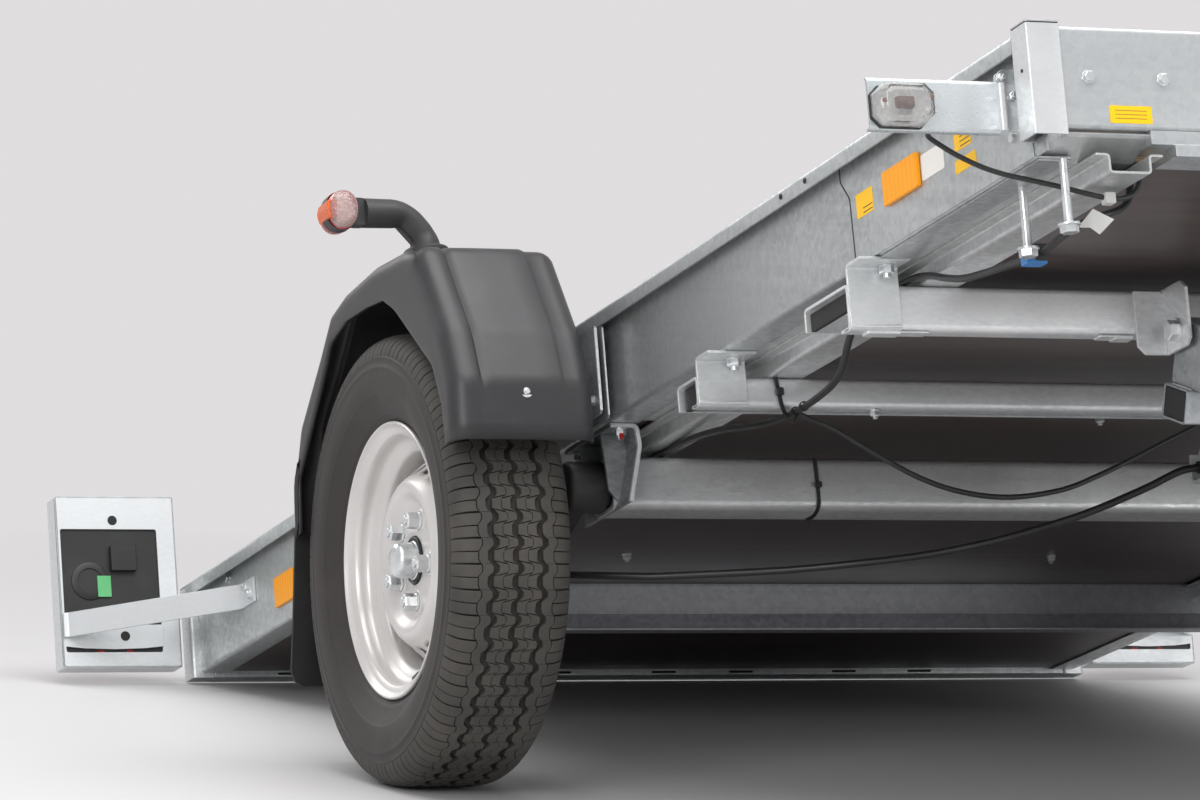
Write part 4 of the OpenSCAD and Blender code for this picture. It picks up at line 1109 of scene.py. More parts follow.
# Rows of (x, depth below the outline) from the shoulder's bend to the inner skirt's edge.
def guardSection(fade):
    r, inner, width = guardSet["shoulder"], guardSet["inner"], guardSet["width"]
    bend = [(r - r * math.cos(math.radians(a)), r - r * math.sin(math.radians(a)))
        for a in range(0, 91, 15)]
    crease = guardSet["crease"]
    deep = guardSet["creaseDepth"] * fade
    groove = [(crease - 0.006, 0.0002), (crease - 0.0032, deep * 0.45), (crease - 0.0006, deep),
        (crease + 0.0022, deep * 0.72), (crease + 0.007, deep * 0.28), (crease + 0.013, 0.0003)]
    soft = guardSet["softCrease"]
    low = guardSet["softDepth"] * fade
    flat = [(0.085, 0), (0.12, 0), (soft - 0.005, 0), (soft - 0.001, low * 0.5),
        (soft + 0.003, low)]
    end = [(width - inner - 0.004, low)]
    turn = [(width - inner + inner * math.sin(math.radians(a)),
        low + inner - inner * math.cos(math.radians(a))) for a in range(0, 91, 18)]
    return bend + groove + flat + end + turn + [(width, guardSet["skirt"])]


def makeMudguard(side):
    line = guardStations()
    lipRows = ((0.0068, -0.0006), (0.0036, 0.0), (0.0014, -0.001), (0.0004, -0.0035),
        (0.0, -0.0075))
    points = []
    count = 0
    for i, here in enumerate(line):
        back, ahead = line[max(i - 1, 0)], line[min(i + 1, len(line) - 1)]
        along = unit(Vector((ahead[0] - back[0], ahead[1] - back[1])))
        inward = Vector((-along.y, along.x))
        outer, opening = Vector(here[:2]), Vector(here[2:])
        shoulder = outer + inward * guardSet["shoulder"]
        reach = unit(opening - shoulder)
        share = i / (len(line) - 1)
        fade = max(0.0, min(1.0, (1 - share) / 0.14, share / 0.1))
        row = [(x, opening + reach * d) for x, d in lipRows]
        row += [(0.0, shoulder.lerp(row[-1][1], k / 4)) for k in (3, 2, 1)]
        row += [(x, outer + inward * depth) for x, depth in guardSection(fade)]
        count = len(row)
        points += [(guardSet["outer"] + x, p.x, p.y) for x, p in row]
    faces = [(i * count + k, (i + 1) * count + k, (i + 1) * count + k + 1, i * count + k + 1)
        for i in range(len(line) - 1) for k in range(count - 1)]
    obj = meshPiece("mudguard_" + side + "_shell", points, faces, sidePlace[side],
        finish["plastic"], 42)
    fixOutward(obj.data, sidePlace[side].to_3x3() @ Vector((-0.4, 0, 1)))
    addWall(obj, guardSet["wall"])
    dress(obj, "bed", ["mudguard_" + side])
    spots = [((-0.13, -0.3422, 0.146), (0, -1, 0.03), 10), ((-0.13, 0.29, 0.12), (0, 1, 0.1), 30),
        ((-0.06, 0.29, 0.12), (0, 1, 0.1), 75)]
    fasten("guard_screws_" + side, "panHead", spots, sidePlace[side], size=0.95)


# The flap hangs behind the wheel from the mudguard's rear edge.
flapSet = {"thick": 0.005, "x0": -0.226, "x1": -0.039, "drop": 0.203, "rise": 0.058}


def makeMudflap(side):
    knee = Vector((0.2955, 0.095))
    up = unit(Vector((-0.009, 0.075)))
    down = Vector((math.sin(math.radians(layout["bedTip"])),
        -math.cos(math.radians(layout["bedTip"]))))
    levels = [(-flapSet["drop"], 0.0), (-flapSet["drop"] + 0.006, 0.012),
        (-flapSet["drop"] + 0.02, 0.018), (-0.12, 0.0185), (-0.03, 0.0185), (0.0, 0.0185),
        (0.012, 0.0185), (0.022, 0.006), (0.03, 0.0), (flapSet["rise"], 0.0)]
    middle = (flapSet["x0"] + flapSet["x1"]) / 2
    half = (flapSet["x1"] - flapSet["x0"]) / 2
    points = []
    for level, wide in levels:
        spine = knee + (up * level if level > 0 else down * -level)
        back = Vector((0.0025, 0.0)) * (math.sin(level * 18) if level < 0 else 0.0)
        for x in (-half - wide + 0.0185, -half / 2, 0, half / 2, half + wide - 0.0185):
            if abs(x) < half - 0.001 or level < 0.0:
                x = x if abs(x) < half - 0.001 else math.copysign(half - 0.0185 + wide, x)
            points.append((middle + x, spine.x + back.x, spine.y + back.y))
    faces = [(i * 5 + k, i * 5 + k + 1, (i + 1) * 5 + k + 1, (i + 1) * 5 + k)
        for i in range(len(levels) - 1) for k in range(4)]
    obj = meshPiece("mudflap_" + side + "_sheet", points, faces, sidePlace[side], finish["flap"],
        60)
    fixOutward(obj.data, sidePlace[side].to_3x3() @ Vector((0, 1, 0)))
    addWall(obj, flapSet["thick"], 0)
    addBevel(obj, 0.001)
    dress(obj, "bed", ["mudflap_" + side])


# The marker lamp stands on a moulded elbow above the mudguard.
markerSet = {"y": -0.15, "lampZ": 0.428}


def ovalRing(centre, halfWidth, halfHeight, y, sides=40, power=2.0):
    ring = []
    for k in range(sides):
        a = 2 * math.pi * k / sides
        c, s = math.cos(a), math.sin(a)
        r = (abs(c) ** power + abs(s) ** power) ** (-1 / power)
        ring.append((centre[0] + halfWidth * r * c, y, centre[1] + halfHeight * r * s))
    return ring


# Levels are (y, half width, half height) from one end to the other.
def oval(name, levels, centre, place, material, smooth=40, power=2.0):
    points = []
    for y, w, h in levels:
        points += ovalRing(centre, w, h, y, power=power)
    around = len(points) // len(levels)
    obj = meshPiece(name, points, ringFaces(len(levels), around), place, material, smooth)
    fixNormals(obj.data)
    return obj


def makeMarkerLamp(side, first):
    y, z = markerSet["y"], markerSet["lampZ"]
    line = roundCorners([(-0.178, y, 0.3745), (-0.18, y, 0.398), (-0.205, y, z), (-0.262, y, z)],
        0.042, 7)

    def armSection(share):
        wide = 0.0205 - 0.0035 * min(1, share / 0.3) + 0.0025 * max(0, (share - 0.7) / 0.3)
        return [(wide * math.cos(a) * (1.0 + 0.1 * math.cos(2 * a)), wide * math.sin(a))
            for a in (2 * math.pi * k / 28 for k in range(28))]
    add("lamp_arm_" + side, "arm", swept, line, armSection, sidePlace[side], smooth=60,
        start=(0, 1, 0), nodes=["lamp_arms"] if first else ())
    foot = [(0.0, 0.0285), (0.002, 0.029), (0.0052, 0.0288), (0.007, 0.0272), (0.0085, 0.0235)]
    rings = [(r * math.cos(2 * math.pi * k / 32) - 0.178,
        y + 1.25 * r * math.sin(2 * math.pi * k / 32), 0.3735 + h) for h, r in foot
        for k in range(32)]
    base = meshPiece("lamp_arm_foot_" + side, rings, ringFaces(len(foot), 32), sidePlace[side],
        finish["arm"], 40)
    fixNormals(base.data)
    dress(base, "bed")
    add("lamp_arm_web_" + side, "arm", extruded, [(-0.196, 0.384), (-0.18, 0.384), (-0.196, 0.412),
        (-0.226, 0.418)], "y", y - 0.002, y + 0.002, sidePlace[side])

    centre = -0.285 - 0.01, z
    housing = [(y - 0.008, 0.02, 0.0235), (y - 0.01, 0.0215, 0.025), (y + 0.01, 0.0215, 0.025),
        (y + 0.008, 0.02, 0.0235)]
    place = sidePlace[side]
    add("marker_housing_" + side, "arm", oval, housing, centre, place, power=2.3)
    add("marker_neck_" + side, "arm", boxPiece, (-0.283, z - 0.0185), (-0.258, z + 0.0185), 0.008,
        "y", y - 0.0085, y + 0.0085, sidePlace[side])
    front = [(y - 0.0095, 0.0192, 0.0245), (y - 0.02, 0.0192, 0.0245), (y - 0.0255, 0.0178, 0.023),
        (y - 0.029, 0.014, 0.0185), (y - 0.0298, 0.008, 0.011), (y - 0.03, 0.0015, 0.002)]
    add("marker_front_lens_" + side, "pinkLens", oval, front, centre, place, power=2.2,
        nodes=["marker_lamps"] if first else ())
    rear = [(2 * y - level, w, h) for level, w, h in front]
    add("marker_rear_lens_" + side, "red", oval, rear, centre, place, power=2.2, slot="red_lens")
    rim = [(y - 0.01, 0.02, 0.0252), (y - 0.0118, 0.02, 0.0252)]
    add("marker_rim_" + side, "red", oval, rim, centre, place, power=2.2, slot="red_lens")
    inside = [(y - 0.0096, 0.016, 0.02), (y - 0.015, 0.011, 0.014), (y - 0.0152, 0.002, 0.002)]
    add("marker_inside_" + side, "tag", oval, inside, centre, place, power=2.2)
    edge = roundCorners([(-0.3155, z - 0.012), (-0.3185, z), (-0.3155, z + 0.012)], 0.01, 4)
    add("marker_side_lens_" + side, "amber", extruded,
        flat(edge) + [(-0.304, z + 0.014), (-0.304, z - 0.014)], "y", y - 0.0205, y + 0.0205,
        sidePlace[side], bevel=0.0015)


for side in sides:
    makeMudguard(side)
    makeMudflap(side)
    makeMarkerLamp(side, side == "right")
print("mudguards and marker lamps stand")

# Rails of folded sheet, with a splice plate that laps the joint ahead of the mudguard.
railSet = {"lip": 0.022, "bottom": 0.062, "bend": 0.004, "lap": 0.0022}


def railOutline(top, bottom):
    web, t = layout["webX"], layout["sheet"]
    return foldedOutline([(0, top - railSet["lip"]), (0, top), (web, top), (web, bottom),
        (railSet["bottom"], bottom)], t, railSet["bend"])


def makeRail(side):
    place = sidePlace[side]
    top, low = layout["railTop"], layout["railZ"]
    add("side_rail_" + side + "_sheet", "rail", extruded, railOutline(top, layout["floorZ"]), "y",
        layout["frontY"], layout["railEnd"], place, nodes=["side_rail_" + side])
    x = layout["webX"] - layout["sheet"]
    t = railSet["lap"]
    plate = [(-1.0135, top - 0.004), (-1.0135, 0.241), (-1.016, 0.236), (-1.0325, 0.217),
        (-1.035, 0.212), (-1.0377, low + 0.001), (layout["frontY"] + 0.001, low + 0.001),
        (layout["frontY"] + 0.001, top - 0.004)]
    add("rail_lap_" + side, "rail", extruded, plate, "x", x - t, x, place, bevel=0.0006)
    # A near-black strip along the splice plate's rear edge: a painted shadow line at the step.
    add("rail_joint_" + side, "gap", extruded, [(a - t, b) for a, b in plate[:6]]
        + [(a + 0.001, b) for a, b in reversed(plate[:6])], "x", x - t - 0.0001, x, place, bevel=0)
    add("rail_lap_flange_" + side, "rail", boxPiece, (0.022, layout["frontY"] + 0.001),
        (0.06, -1.094), 0, "z", low - t, low, place)
    spots = [((-0.0001, y, 0.259), (-1, 0, 0), 20 * i) for i, y in enumerate((-0.878, -0.95))]
    fasten("rail_lip_screws_" + side, "rivet", spots, place, look="gap", size=0.8)
    spots = [((0.018, y, z), (-1, 0, 0), 17 * i) for i, (y, z) in enumerate(((-1.47, 0.236),
        (-1.47, 0.166)))]
    fasten("rail_front_bolts_" + side, "hexBolt", spots, place, size=0.8)


# Flat patches on the rail: name, two corners, corner radius, thickness, look and bevel.
railMarks = (("side_reflector", (-1.231, 0.1765), (-1.137, 0.217), 0.003, 0.0055, "orangeFoil",
    0.0008), ("white_patch", (-1.2945, 0.1805), (-1.2345, 0.211), 0.003, 0.0005, "whiteFoil",
    0.0001), ("yellow_patch_front", (-1.3665, 0.1895), (-1.3235, 0.21), 0.0015, 0.0004,
    "yellowFoil", 0.0001), ("yellow_patch_low", (-1.376, 0.164), (-1.3215, 0.1795), 0.0015, 0.0004,
    "yellowFoil", 0.0001), ("yellow_patch_rear", (-1.099, 0.184), (-1.053, 0.213), 0.0015, 0.0004,
    "yellowFoil", 0.0001), ("rear_reflector", (0.985, 0.155), (1.07, 0.2), 0.003, 0.0055,
    "orangeFoil", 0.0008))


def makeRailMarks(side):
    web = layout["webX"] - layout["sheet"]
    x = web - railSet["lap"]
    for name, low, high, corner, thick, look, bevel in railMarks:
        outer = web if name == "rear_reflector" else x
        add(name + "_" + side, look, boxPiece, low, high, corner, "x", outer - thick, outer,
            sidePlace[side], bevel=bevel)
    for name, y0, z0, bars in (("yellow_bars_front", -1.364, 0.1925, 3),
            ("yellow_bars_rear", -1.097, 0.187, 2)):
        for k in range(bars):
            z = z0 + 0.0055 * k
            add(name + "_" + str(k) + "_" + side, "black", boxPiece, (y0, z),
                (y0 + 0.026, z + 0.0012), 0, "x", x - 0.0005, x - 0.0004, sidePlace[side], bevel=0)


for side in sides:
    makeRail(side)
    makeRailMarks(side)

# The front corner posts are box tubes with a cap on top.
postSet = {"width": 0.042, "depth": 0.04, "low": 0.147, "high": 0.277, "round": 0.0035}


def makeFrontPost(side):
    place = sidePlace[side]
    y1 = layout["frontY"]
    y0 = y1 - postSet["depth"]
    w, t, r = postSet["width"], layout["sheet"], postSet["round"]
    outer = boxOutline((0, y0), (w, y1), r)
    inner = boxOutline((t, y0 + t), (w - t, y1 - t), max(r - t, 0.0008))
    add("front_post_" + side + "_tube", "post", hollowPiece, outer, inner, "z", postSet["low"],
        postSet["high"] - 0.0035, place, nodes=["front_post_" + side])
    add("rail_tongue_" + side, "rail", boxPiece, (0.018, y0 + 0.011), (0.021, y1), 0, "z",
        layout["railZ"] + 0.001, postSet["low"] + 0.003, place, bevel=0.0004)
    add("front_post_cap_gap_" + side, "gap", boxPiece, (0.0006, y0 + 0.0006),
        (w - 0.0006, y1 - 0.0006), r, "z", postSet["high"] - 0.0035, postSet["high"] - 0.0022,
        place, bevel=0)
    add("front_post_cap_" + side, "rail", boxPiece, (0, y0), (w, y1), r, "z",
        postSet["high"] - 0.0024, postSet["high"], place, bevel=0.0008)
    fasten("front_post_rivet_" + side, "rivet", [((-0.0001, y1 - 0.022, 0.2225), (-1, 0, 0), 0)],
        place, look="gap", size=0.5)


def makeFrontBoard():
    half = layout["bedWidth"] / 2 - postSet["width"] - 0.0002
    y0 = layout["frontY"] - postSet["depth"] + 0.006
    z0, z1 = postSet["low"] + 0.009, postSet["high"] - 0.003
    outline = foldedOutline([(y0 + 0.025, z0), (y0, z0), (y0, z1), (y0 + 0.025, z1)],
        layout["sheet"], 0.004)
    add("front_board_sheet", "board", extruded, outline, "x", -half, half, bedPlace,
        nodes=["front_board"])
    for side in sides:
        place = sidePlace[side]
        fasten("board_bolts_" + side, "hexBolt", [((x, y0 - 0.0001, 0.2145), (0, -1, 0), 12 * i)
            for i, x in enumerate((0.074, 0.1665))], place, size=0.86)
        add("board_sticker_" + side, "yellowFoil", boxPiece, (0.0965, 0.163), (0.1485, 0.183),
            0.0012, "y", y0 - 0.0005, y0, place, bevel=0.0001)
        for k in range(3):
            z = 0.168 + 0.0045 * k
            add("sticker_bar_" + side + "_" + str(k), "ink", boxPiece, (0.103, z),
                (0.142, z + 0.001), 0, "y", y0 - 0.0006, y0 - 0.0004, place, bevel=0)


for side in sides:
    makeFrontPost(side)
makeFrontBoard()
print("rails, posts and board stand")


# The front lamp stands on a folded bracket beside the corner post.
lampSet = {"y": -1.492, "x0": -0.169, "x1": -0.009, "low": 0.166, "high": 0.2205, "middle": 0.1885}


def makeFrontLamp(side, first):
    place = sidePlace[side]
    y, low, high, t = lampSet["y"], lampSet["low"], lampSet["high"], layout["sheet"]
    face = foldedOutline([(y + 0.024, high), (y, high), (y, low), (y + 0.008, low)], t, 0.003)
    bracket = extruded("lamp_bracket_" + side, flat(face), "x", lampSet["x0"], lampSet["x1"], place,
        finish["bright"], bevel=0.0005)
    for point in bracket.data.vertices:
        at = place.inverted() @ point.co
        if at.x < lampSet["x0"] + 0.01 and at.y > y + 0.008 and (at.z > low + 0.03):
            point.co = place @ Vector((lampSet["x0"] + 0.05 * (at.y - y) / 0.024, at.y, at.z))
    dress(bracket, "bed", ["front_lamp_brackets"] if first else ())
    fold = foldedOutline([(-0.011, y + 0.001), (-0.008, y - 0.005), (-0.004, y - 0.0055),
        (-0.0015, y), (0.018, y + 0.003), (0.018, y + 0.042)], 0.0025, 0.001)
    add("lamp_bracket_end_" + side, "post", extruded, fold, "z", low, high, place, bevel=0.0004)
    plate = [(0.0175, high - 0.004), (0.0175, 0.24), (0.002, 0.24), (-0.0075, 0.233),
        (-0.01, high - 0.002)]
    add("lamp_bracket_ear_" + side, "rail", extruded, plate, "y", y + 0.006, y + 0.009, place)
    fasten("lamp_bracket_bolts_" + side, "stud", [((-0.0005, y + 0.006, 0.2285), (0, -1, 0), 10),
        ((0.008, y + 0.0005, 0.206), (0, -1, 0), 40)], place, size=0.72)

    z = lampSet["middle"]
    x = -0.1335
    w, h, c = 0.0352, 0.024, 0.0105
    octagon = [(x - w, z - h + c), (x - w, z + h - c), (x - w + c, z + h), (x + w - c, z + h),
        (x + w, z + h - c), (x + w, z - h + c), (x + w - c, z - h), (x - w + c, z - h)]

    def grown(amount):
        return [(x + (px - x) * (1 + amount / w), z + (pz - z) * (1 + amount / h))
            for px, pz in octagon]
    add("front_lamp_back_" + side, "black", lofted, [(y - 0.0002, grown(0)), (y - 0.006, grown(0))],
        place, nodes=["front_lamps"] if first else ())
    add("front_lamp_lens_" + side, "clear", lofted, [(y - 0.0062, grown(-0.0012)),
        (y - 0.027, grown(-0.002)), (y - 0.0305, grown(-0.005)), (y - 0.031, grown(-0.0065)),
        (y - 0.03, grown(-0.0078)), (y - 0.0322, grown(-0.0095)), (y - 0.0335, grown(-0.013))],
        place)
    add("front_lamp_mirror_" + side, "tag", lofted, [(y - 0.0064, grown(-0.004)),
        (y - 0.01, grown(-0.006))], place)
    add("front_lamp_chip_" + side, "bulb", boxPiece, (x - 0.01, z - 0.004), (x + 0.01, z + 0.007),
        0.002, "y", y - 0.02, y - 0.009, place, bevel=0.0008)
    screws = [((x + dx, y - 0.031, z + dz), (0, -1, 0), 30)
        for dx, dz in ((-0.029, 0.0), (0.029, 0.006))]
    fasten("front_lamp_screws_" + side, "panHead", screws, place, look="bulb", size=0.32)


# Cross beams of thick folded plate, with cleats at their ends.
beamSet = {
    "front": {"y": -1.05, "depth": 0.125, "height": 0.055, "back": 0.029, "flange": 0.025},
    "second": {"y": -0.593, "depth": 0.063, "height": 0.038, "back": 0.032, "flange": 0.02},
    "plate": 0.004,
    "reach": 0.775,
}


def makeCrossBeam(key, node, material):
    facts = beamSet[key]
    y, z, t = facts["y"], layout["beamZ"], beamSet["plate"]
    path = [(y + facts["flange"], z - facts["height"]), (y, z - facts["height"]), (y, z),
        (y + facts["depth"], z), (y + facts["depth"], z - facts["back"])]
    dress(foldedBeam(node + "_plate", path, t, 0.004, -beamSet["reach"], beamSet["reach"],
        material), "bed", [node])
    return y, z - facts["height"]


def makeCleats(first):
    for side in sides:
        for key in ("front", "second"):
            facts = beamSet[key]
            y, t = facts["y"], beamSet["plate"]
            low = layout["beamZ"] - facts["height"] + 0.003
            top = layout["railZ"]
            path = [(y - 0.042, top - 0.0001), (y, top - 0.0001), (y, low), (y + 0.016, low)]
            outline = foldedOutline(path, t, 0.004)
            add("cleat_" + key + "_" + side, "cleat", extruded, outline, "x", -0.005, 0.061,
                sidePlace[side], bevel=0.0008, slot="hot_dip_steel",
                nodes=["beam_cleats"] if first and key == "front" else ())
            first = False
            spots = [((0.041, y - 0.016, top - t - 0.0001), (0, 0, -1), 20)]
            fasten("cleat_bolt_" + key + "_" + side, "stud", spots, sidePlace[side], size=1.15)
            bead = [(-0.004, y - 0.0046, low + 0.001), (0.02, y - 0.005, low),
                (0.06, y - 0.0046, low + 0.001)]
            makeBead("cleat_weld_" + key + "_" + side, bead, 0.0022, sidePlace[side])


hatSet = {"front": -1.545, "rear": 0.78, "x": 0.092, "width": 0.05}


def makeUnderframe():
    y, low = makeCrossBeam("front", "front_cross_beam", finish["hotDip"])
    for side in sides:
        for name, x0, x1, drop in (("a", 0.018, 0.062, 0.004), ("b", 0.058, 0.098, 0.0025),
                ("c", 0.32, 0.345, 0.003), ("d", 0.34, 0.366, 0.0048)):
            add("beam_patch_" + name + "_" + side, "hotDip", boxPiece, (x0, y + 0.001),
                (x1, y + 0.02), 0.003, "z", low - drop, low + 0.0002, sidePlace[side], bevel=0.0012)
    y, low = makeCrossBeam("second", "second_cross_beam", finish["cleat"])
    for side in sides:
        add("beam_end_block_" + side, "black", boxPiece, (y + 0.006, 0.0735), (y + 0.054, 0.102),
            0.002, "x", 0.001, 0.009, sidePlace[side], bevel=0.0008)
        spots = [((0.239, y + 0.01, low), (0, 0, -1), 0)]
        fasten("second_beam_stud_" + side, "stud", spots, sidePlace[side], size=0.85)
    makeCleats(True)

    for side in sides:
        x0, t = hatSet["x"], layout["sheet"]
        x1 = x0 + hatSet["width"] + t
        path = [(x0 - 0.015, layout["railZ"]), (x0 + t, layout["railZ"]),
            (x0 + t, layout["beamZ"] + t), (x1 - t, layout["beamZ"] + t), (x1 - t, layout["railZ"]),
            (x1 + 0.015, layout["railZ"])]
        outline = flat(foldedOutline(path, t, 0.003))
        add("hat_section_" + side + "_sheet", "hat", extruded, outline, "y", hatSet["front"],
            hatSet["rear"], sidePlace[side], nodes=["hat_section_" + side])
        add("rail_inner_strip_" + side, "hat", boxPiece, (0.06, 0.13), (0.0778, 0.1318), 0, "y",
            -1.5, -0.26, sidePlace[side], bevel=0.0003)
        # A near-black plate in the open end of the front beam: painted shade inside the hollow.
        add("front_beam_hollow_" + side, "gap", boxPiece, (-1.041, 0.078), (-0.932, 0.1), 0.002,
            "x", 0.0, 0.006, sidePlace[side], bevel=0.0006, slot="hot_dip_steel")
        plate = foldedOutline([(-1.544, 0.1535), (-1.54, 0.1505), (-1.5, 0.1335), (-1.43, 0.1328)],
            0.0025, 0.004)
        add("corner_plate_" + side, "hat", extruded, plate, "x", 0.0215, 0.1455, sidePlace[side])


# Bolts that stand down from the front corners, threaded above their heads.
boltSet = {"x": 0.052, "ys": (-1.514, -1.41), "length": 0.085, "radius": 0.0049, "turns": 26,
    "pitch": 0.00125, "crest": 0.00505}


def makeCornerBolts():
    first = True
    for side in sides:
        x = boltSet["x"]
        for i, y in enumerate(boltSet["ys"]):
            low = layout["railZ"] - boltSet["length"]
            rod = [(x, y, layout["railZ"] - 0.0001), (x, y, low + 0.006)]
            add("corner_bolt_" + side + "_" + str(i), "zinc", swept, [Vector(p) for p in rod],
                roundSection(boltSet["radius"], 20), sidePlace[side], start=(1, 0, 0),
                nodes=["corner_bolts"] if first else ())
            first = False
            turns = []
            for k in range(boltSet["turns"] * 10 + 1):
                a = 2 * math.pi * k / 10
                turns.append(Vector((x + boltSet["crest"] * math.cos(a),
                    y + boltSet["crest"] * math.sin(a), low + 0.012 + boltSet["pitch"] * k / 10)))
            add("corner_bolt_thread_" + side + "_" + str(i), "zinc", swept, turns,
                [(0.0, -0.0004), (0.0004, 0.0), (0.0, 0.0004), (-0.0004, 0.0)], sidePlace[side],
                start=(0, 0, 1))
            spots = [((x, y, low + 0.0115), (0, 0, -1), 15 + 22 * i)]
            fasten("corner_bolt_head_" + side + "_" + str(i), "hexBolt", spots, sidePlace[side],
                size=1.45)


# Small things on the cables: ties, a splice, a tag and a clip.
def strapSection(half, thick=0.0006):
    return [(thick, -half), (thick, half), (-thick, half), (-thick, -half)]


def makeTie(name, centre, radius, axis, place, body="bed", tail=None):
    across = Vector(axis).orthogonal().normalized()
    up = Vector(axis).normalized().cross(across)
    ring = [Vector(centre) + across * (radius * math.cos(a)) + up * (radius * math.sin(a))
        for a in (2 * math.pi * k / 20 for k in range(21))]
    add(name, "black", swept, ring, strapSection(0.0022), place, start=tuple(across), body=body)
    if tail:
        add(name + "_tail", "black", swept, [Vector(p) for p in tail], strapSection(0.002), place,
            start=(0.2, 0.3, 1), body=body)


def makeCableBits():
    place = sidePlace["right"]
    y = beamSet["second"]["y"]
    loop = [(0.101, y - 0.0018, 0.115), (0.1015, y - 0.0022, 0.105), (0.104, y - 0.0022, 0.088),
        (0.107, y - 0.0022, 0.07), (0.11, y - 0.003, 0.06), (0.116, y + 0.005, 0.0545)]
    add("beam_tie", "black", swept, catmull(loop, 4), strapSection(0.0026, 0.0007), place,
        start=(0, 1, 0))
    add("beam_tie_head", "black", boxPiece, (0.0995, 0.083), (0.1095, 0.093), 0.002, "y",
        y - 0.0075, y - 0.0015, place, bevel=0.001)
    makeTie("harness_tie", (0.118, -0.61, 0.0595), 0.0056, (0, 1, 0.05), place)
    tail = [(0.118, -0.612, 0.053), (0.112, -0.618, 0.046), (0.11, -0.622, 0.042)]
    makeTie("harness_tie_end", (0.116, -0.64, 0.059), 0.0056, (0, 1, 0.0), place, tail=tail)

    y = -0.2
    loop = [(0.327, y - 0.0012, 0.097), (0.3275, y - 0.0014, 0.076), (0.328, y - 0.0014, 0.04),
        (0.325, y - 0.002, 0.028), (0.314, y - 0.01, 0.016), (0.3, y - 0.018, 0.009)]
    add("axle_tie", "black", swept, catmull(loop, 4), strapSection(0.0024, 0.0007), place,
        start=(0, 1, 0))
    add("axle_tie_head", "black", boxPiece, (0.3235, 0.056), (0.3325, 0.064), 0.002, "y", y - 0.007,
        y - 0.001, place, bevel=0.001)

    x, y, z = 0.075, -1.383, 0.056
    add("splice_plug", "black", boxPiece, (x - 0.006, z - 0.009), (x + 0.012, z + 0.011), 0.002,
        "y", y - 0.011, y + 0.011, place, bevel=0.001)
    add("splice_cap", "blue", boxPiece, (x - 0.016, z - 0.012), (x + 0.009, z - 0.001), 0.0015, "y",
        y - 0.01, y + 0.008, place, bevel=0.0008)
    corners = [(-1.4556, 0.069), (-1.4949, 0.0798), (-1.5411, 0.0553), (-1.5049, 0.0482),
        (-1.4843, 0.0613)]
    tag = extruded("cable_tag", corners, "x", 0.093, 0.094, place, finish["tag"], bevel=0)
    add("cable_tag_strap", "tag", extruded, [(-1.448, 0.069), (-1.448, 0.076), (-1.46, 0.076),
        (-1.462, 0.07)], "x", 0.09, 0.098, place)
    dress(tag, "bed")
    add("lead_clip", "clipWhite", boxPiece, (0.114, 0.089), (0.127, 0.102), 0.002, "y", -1.489,
        -1.476, place, bevel=0.001)


for side in sides:
    makeFrontLamp(side, side == "right")
makeUnderframe()
makeCornerBolts()
makeCableBits()
print("front lamps, beams and cable bits stand")


# The floor: the sheet's faces are film, its edges bare plies.
def makeFloor():
    half = layout["bedWidth"] / 2 - layout["webX"] - 0.001
    outline = boxOutline((layout["frontY"] + 0.016, layout["floorZ"]),
        (layout["railEnd"], layout["floorTop"]))
    obj = extruded("floor_sheet", outline, "x", -half, half, bedPlace,
        [finish["film"], finish["ply"]], bevel=0.0006)
    upward = bedPlace.to_3x3() @ Vector((0, 0, 1))
    for polygon in obj.data.polygons:
        polygon.material_index = 0 if abs(polygon.normal.dot(upward)) > 0.5 else 1
    dress(obj, "bed", ["floor_panel"])
    spots = []
    for y in (-1.28, -0.98, -0.56, 0.1, 0.42, 0.83, 1.1, 1.38):
        for x in (0.046, 0.118, 0.42, 0.77):
            spots.append(((x, y, layout["floorTop"]), (0, 0, 1), 25 * len(spots)))
    for side in sides:
        fasten("floor_screws_" + side, "panHead", spots, sidePlace[side], size=0.9)
    under = [((0.376, 0.574, layout["floorZ"]), (0, 0, -1), 0),
        ((1.054, 0.577, layout["floorZ"]), (0, 0, -1), 30),
        ((0.7, -0.3, layout["floorZ"]), (0, 0, -1), 10)]
    fasten("floor_studs", "stud", under, sidePlace["right"], size=0.85)


def makeRearBeams():
    half = layout["bedWidth"] / 2 - 0.062
    y, top, low = 0.78, layout["floorZ"], layout["railZ"] - 0.04
    path = [(y + 0.16, top), (y + 0.16, low), (y, low), (y, top)]
    add("rear_bearer_sheet", "crossSheet", foldedBeam, path, layout["sheet"], 0.005, -half, half,
        nodes=["rear_bearer"])
    # Two light lines and a dark band on the bearer's face: painted highlights at its edges and
    # painted shade between them.
    for name, z0, z1, look in (("top", 0.0868, 0.0885, "bearerLip"),
            ("band", 0.0618, 0.0868, "bearerShadeBand"), ("low", 0.06, 0.0618, "bearerLip")):
        deep = 0.0032 if look == "bearerShadeBand" else 0.004
        add("rear_bearer_" + name, look, boxPiece, (y - deep, z0), (y - 0.0008, z1), 0, "x", -half,
            half, bedPlace, bevel=0.0003, slot="galvanised_sheet")
    add("rear_bearer_lip", "bearerLip", foldedBeam, [(y - 0.03, low - 0.03),
        (y - 0.0012, low - 0.03), (y - 0.0012, top - 0.003)], 0.0025, 0.004, -half, half)


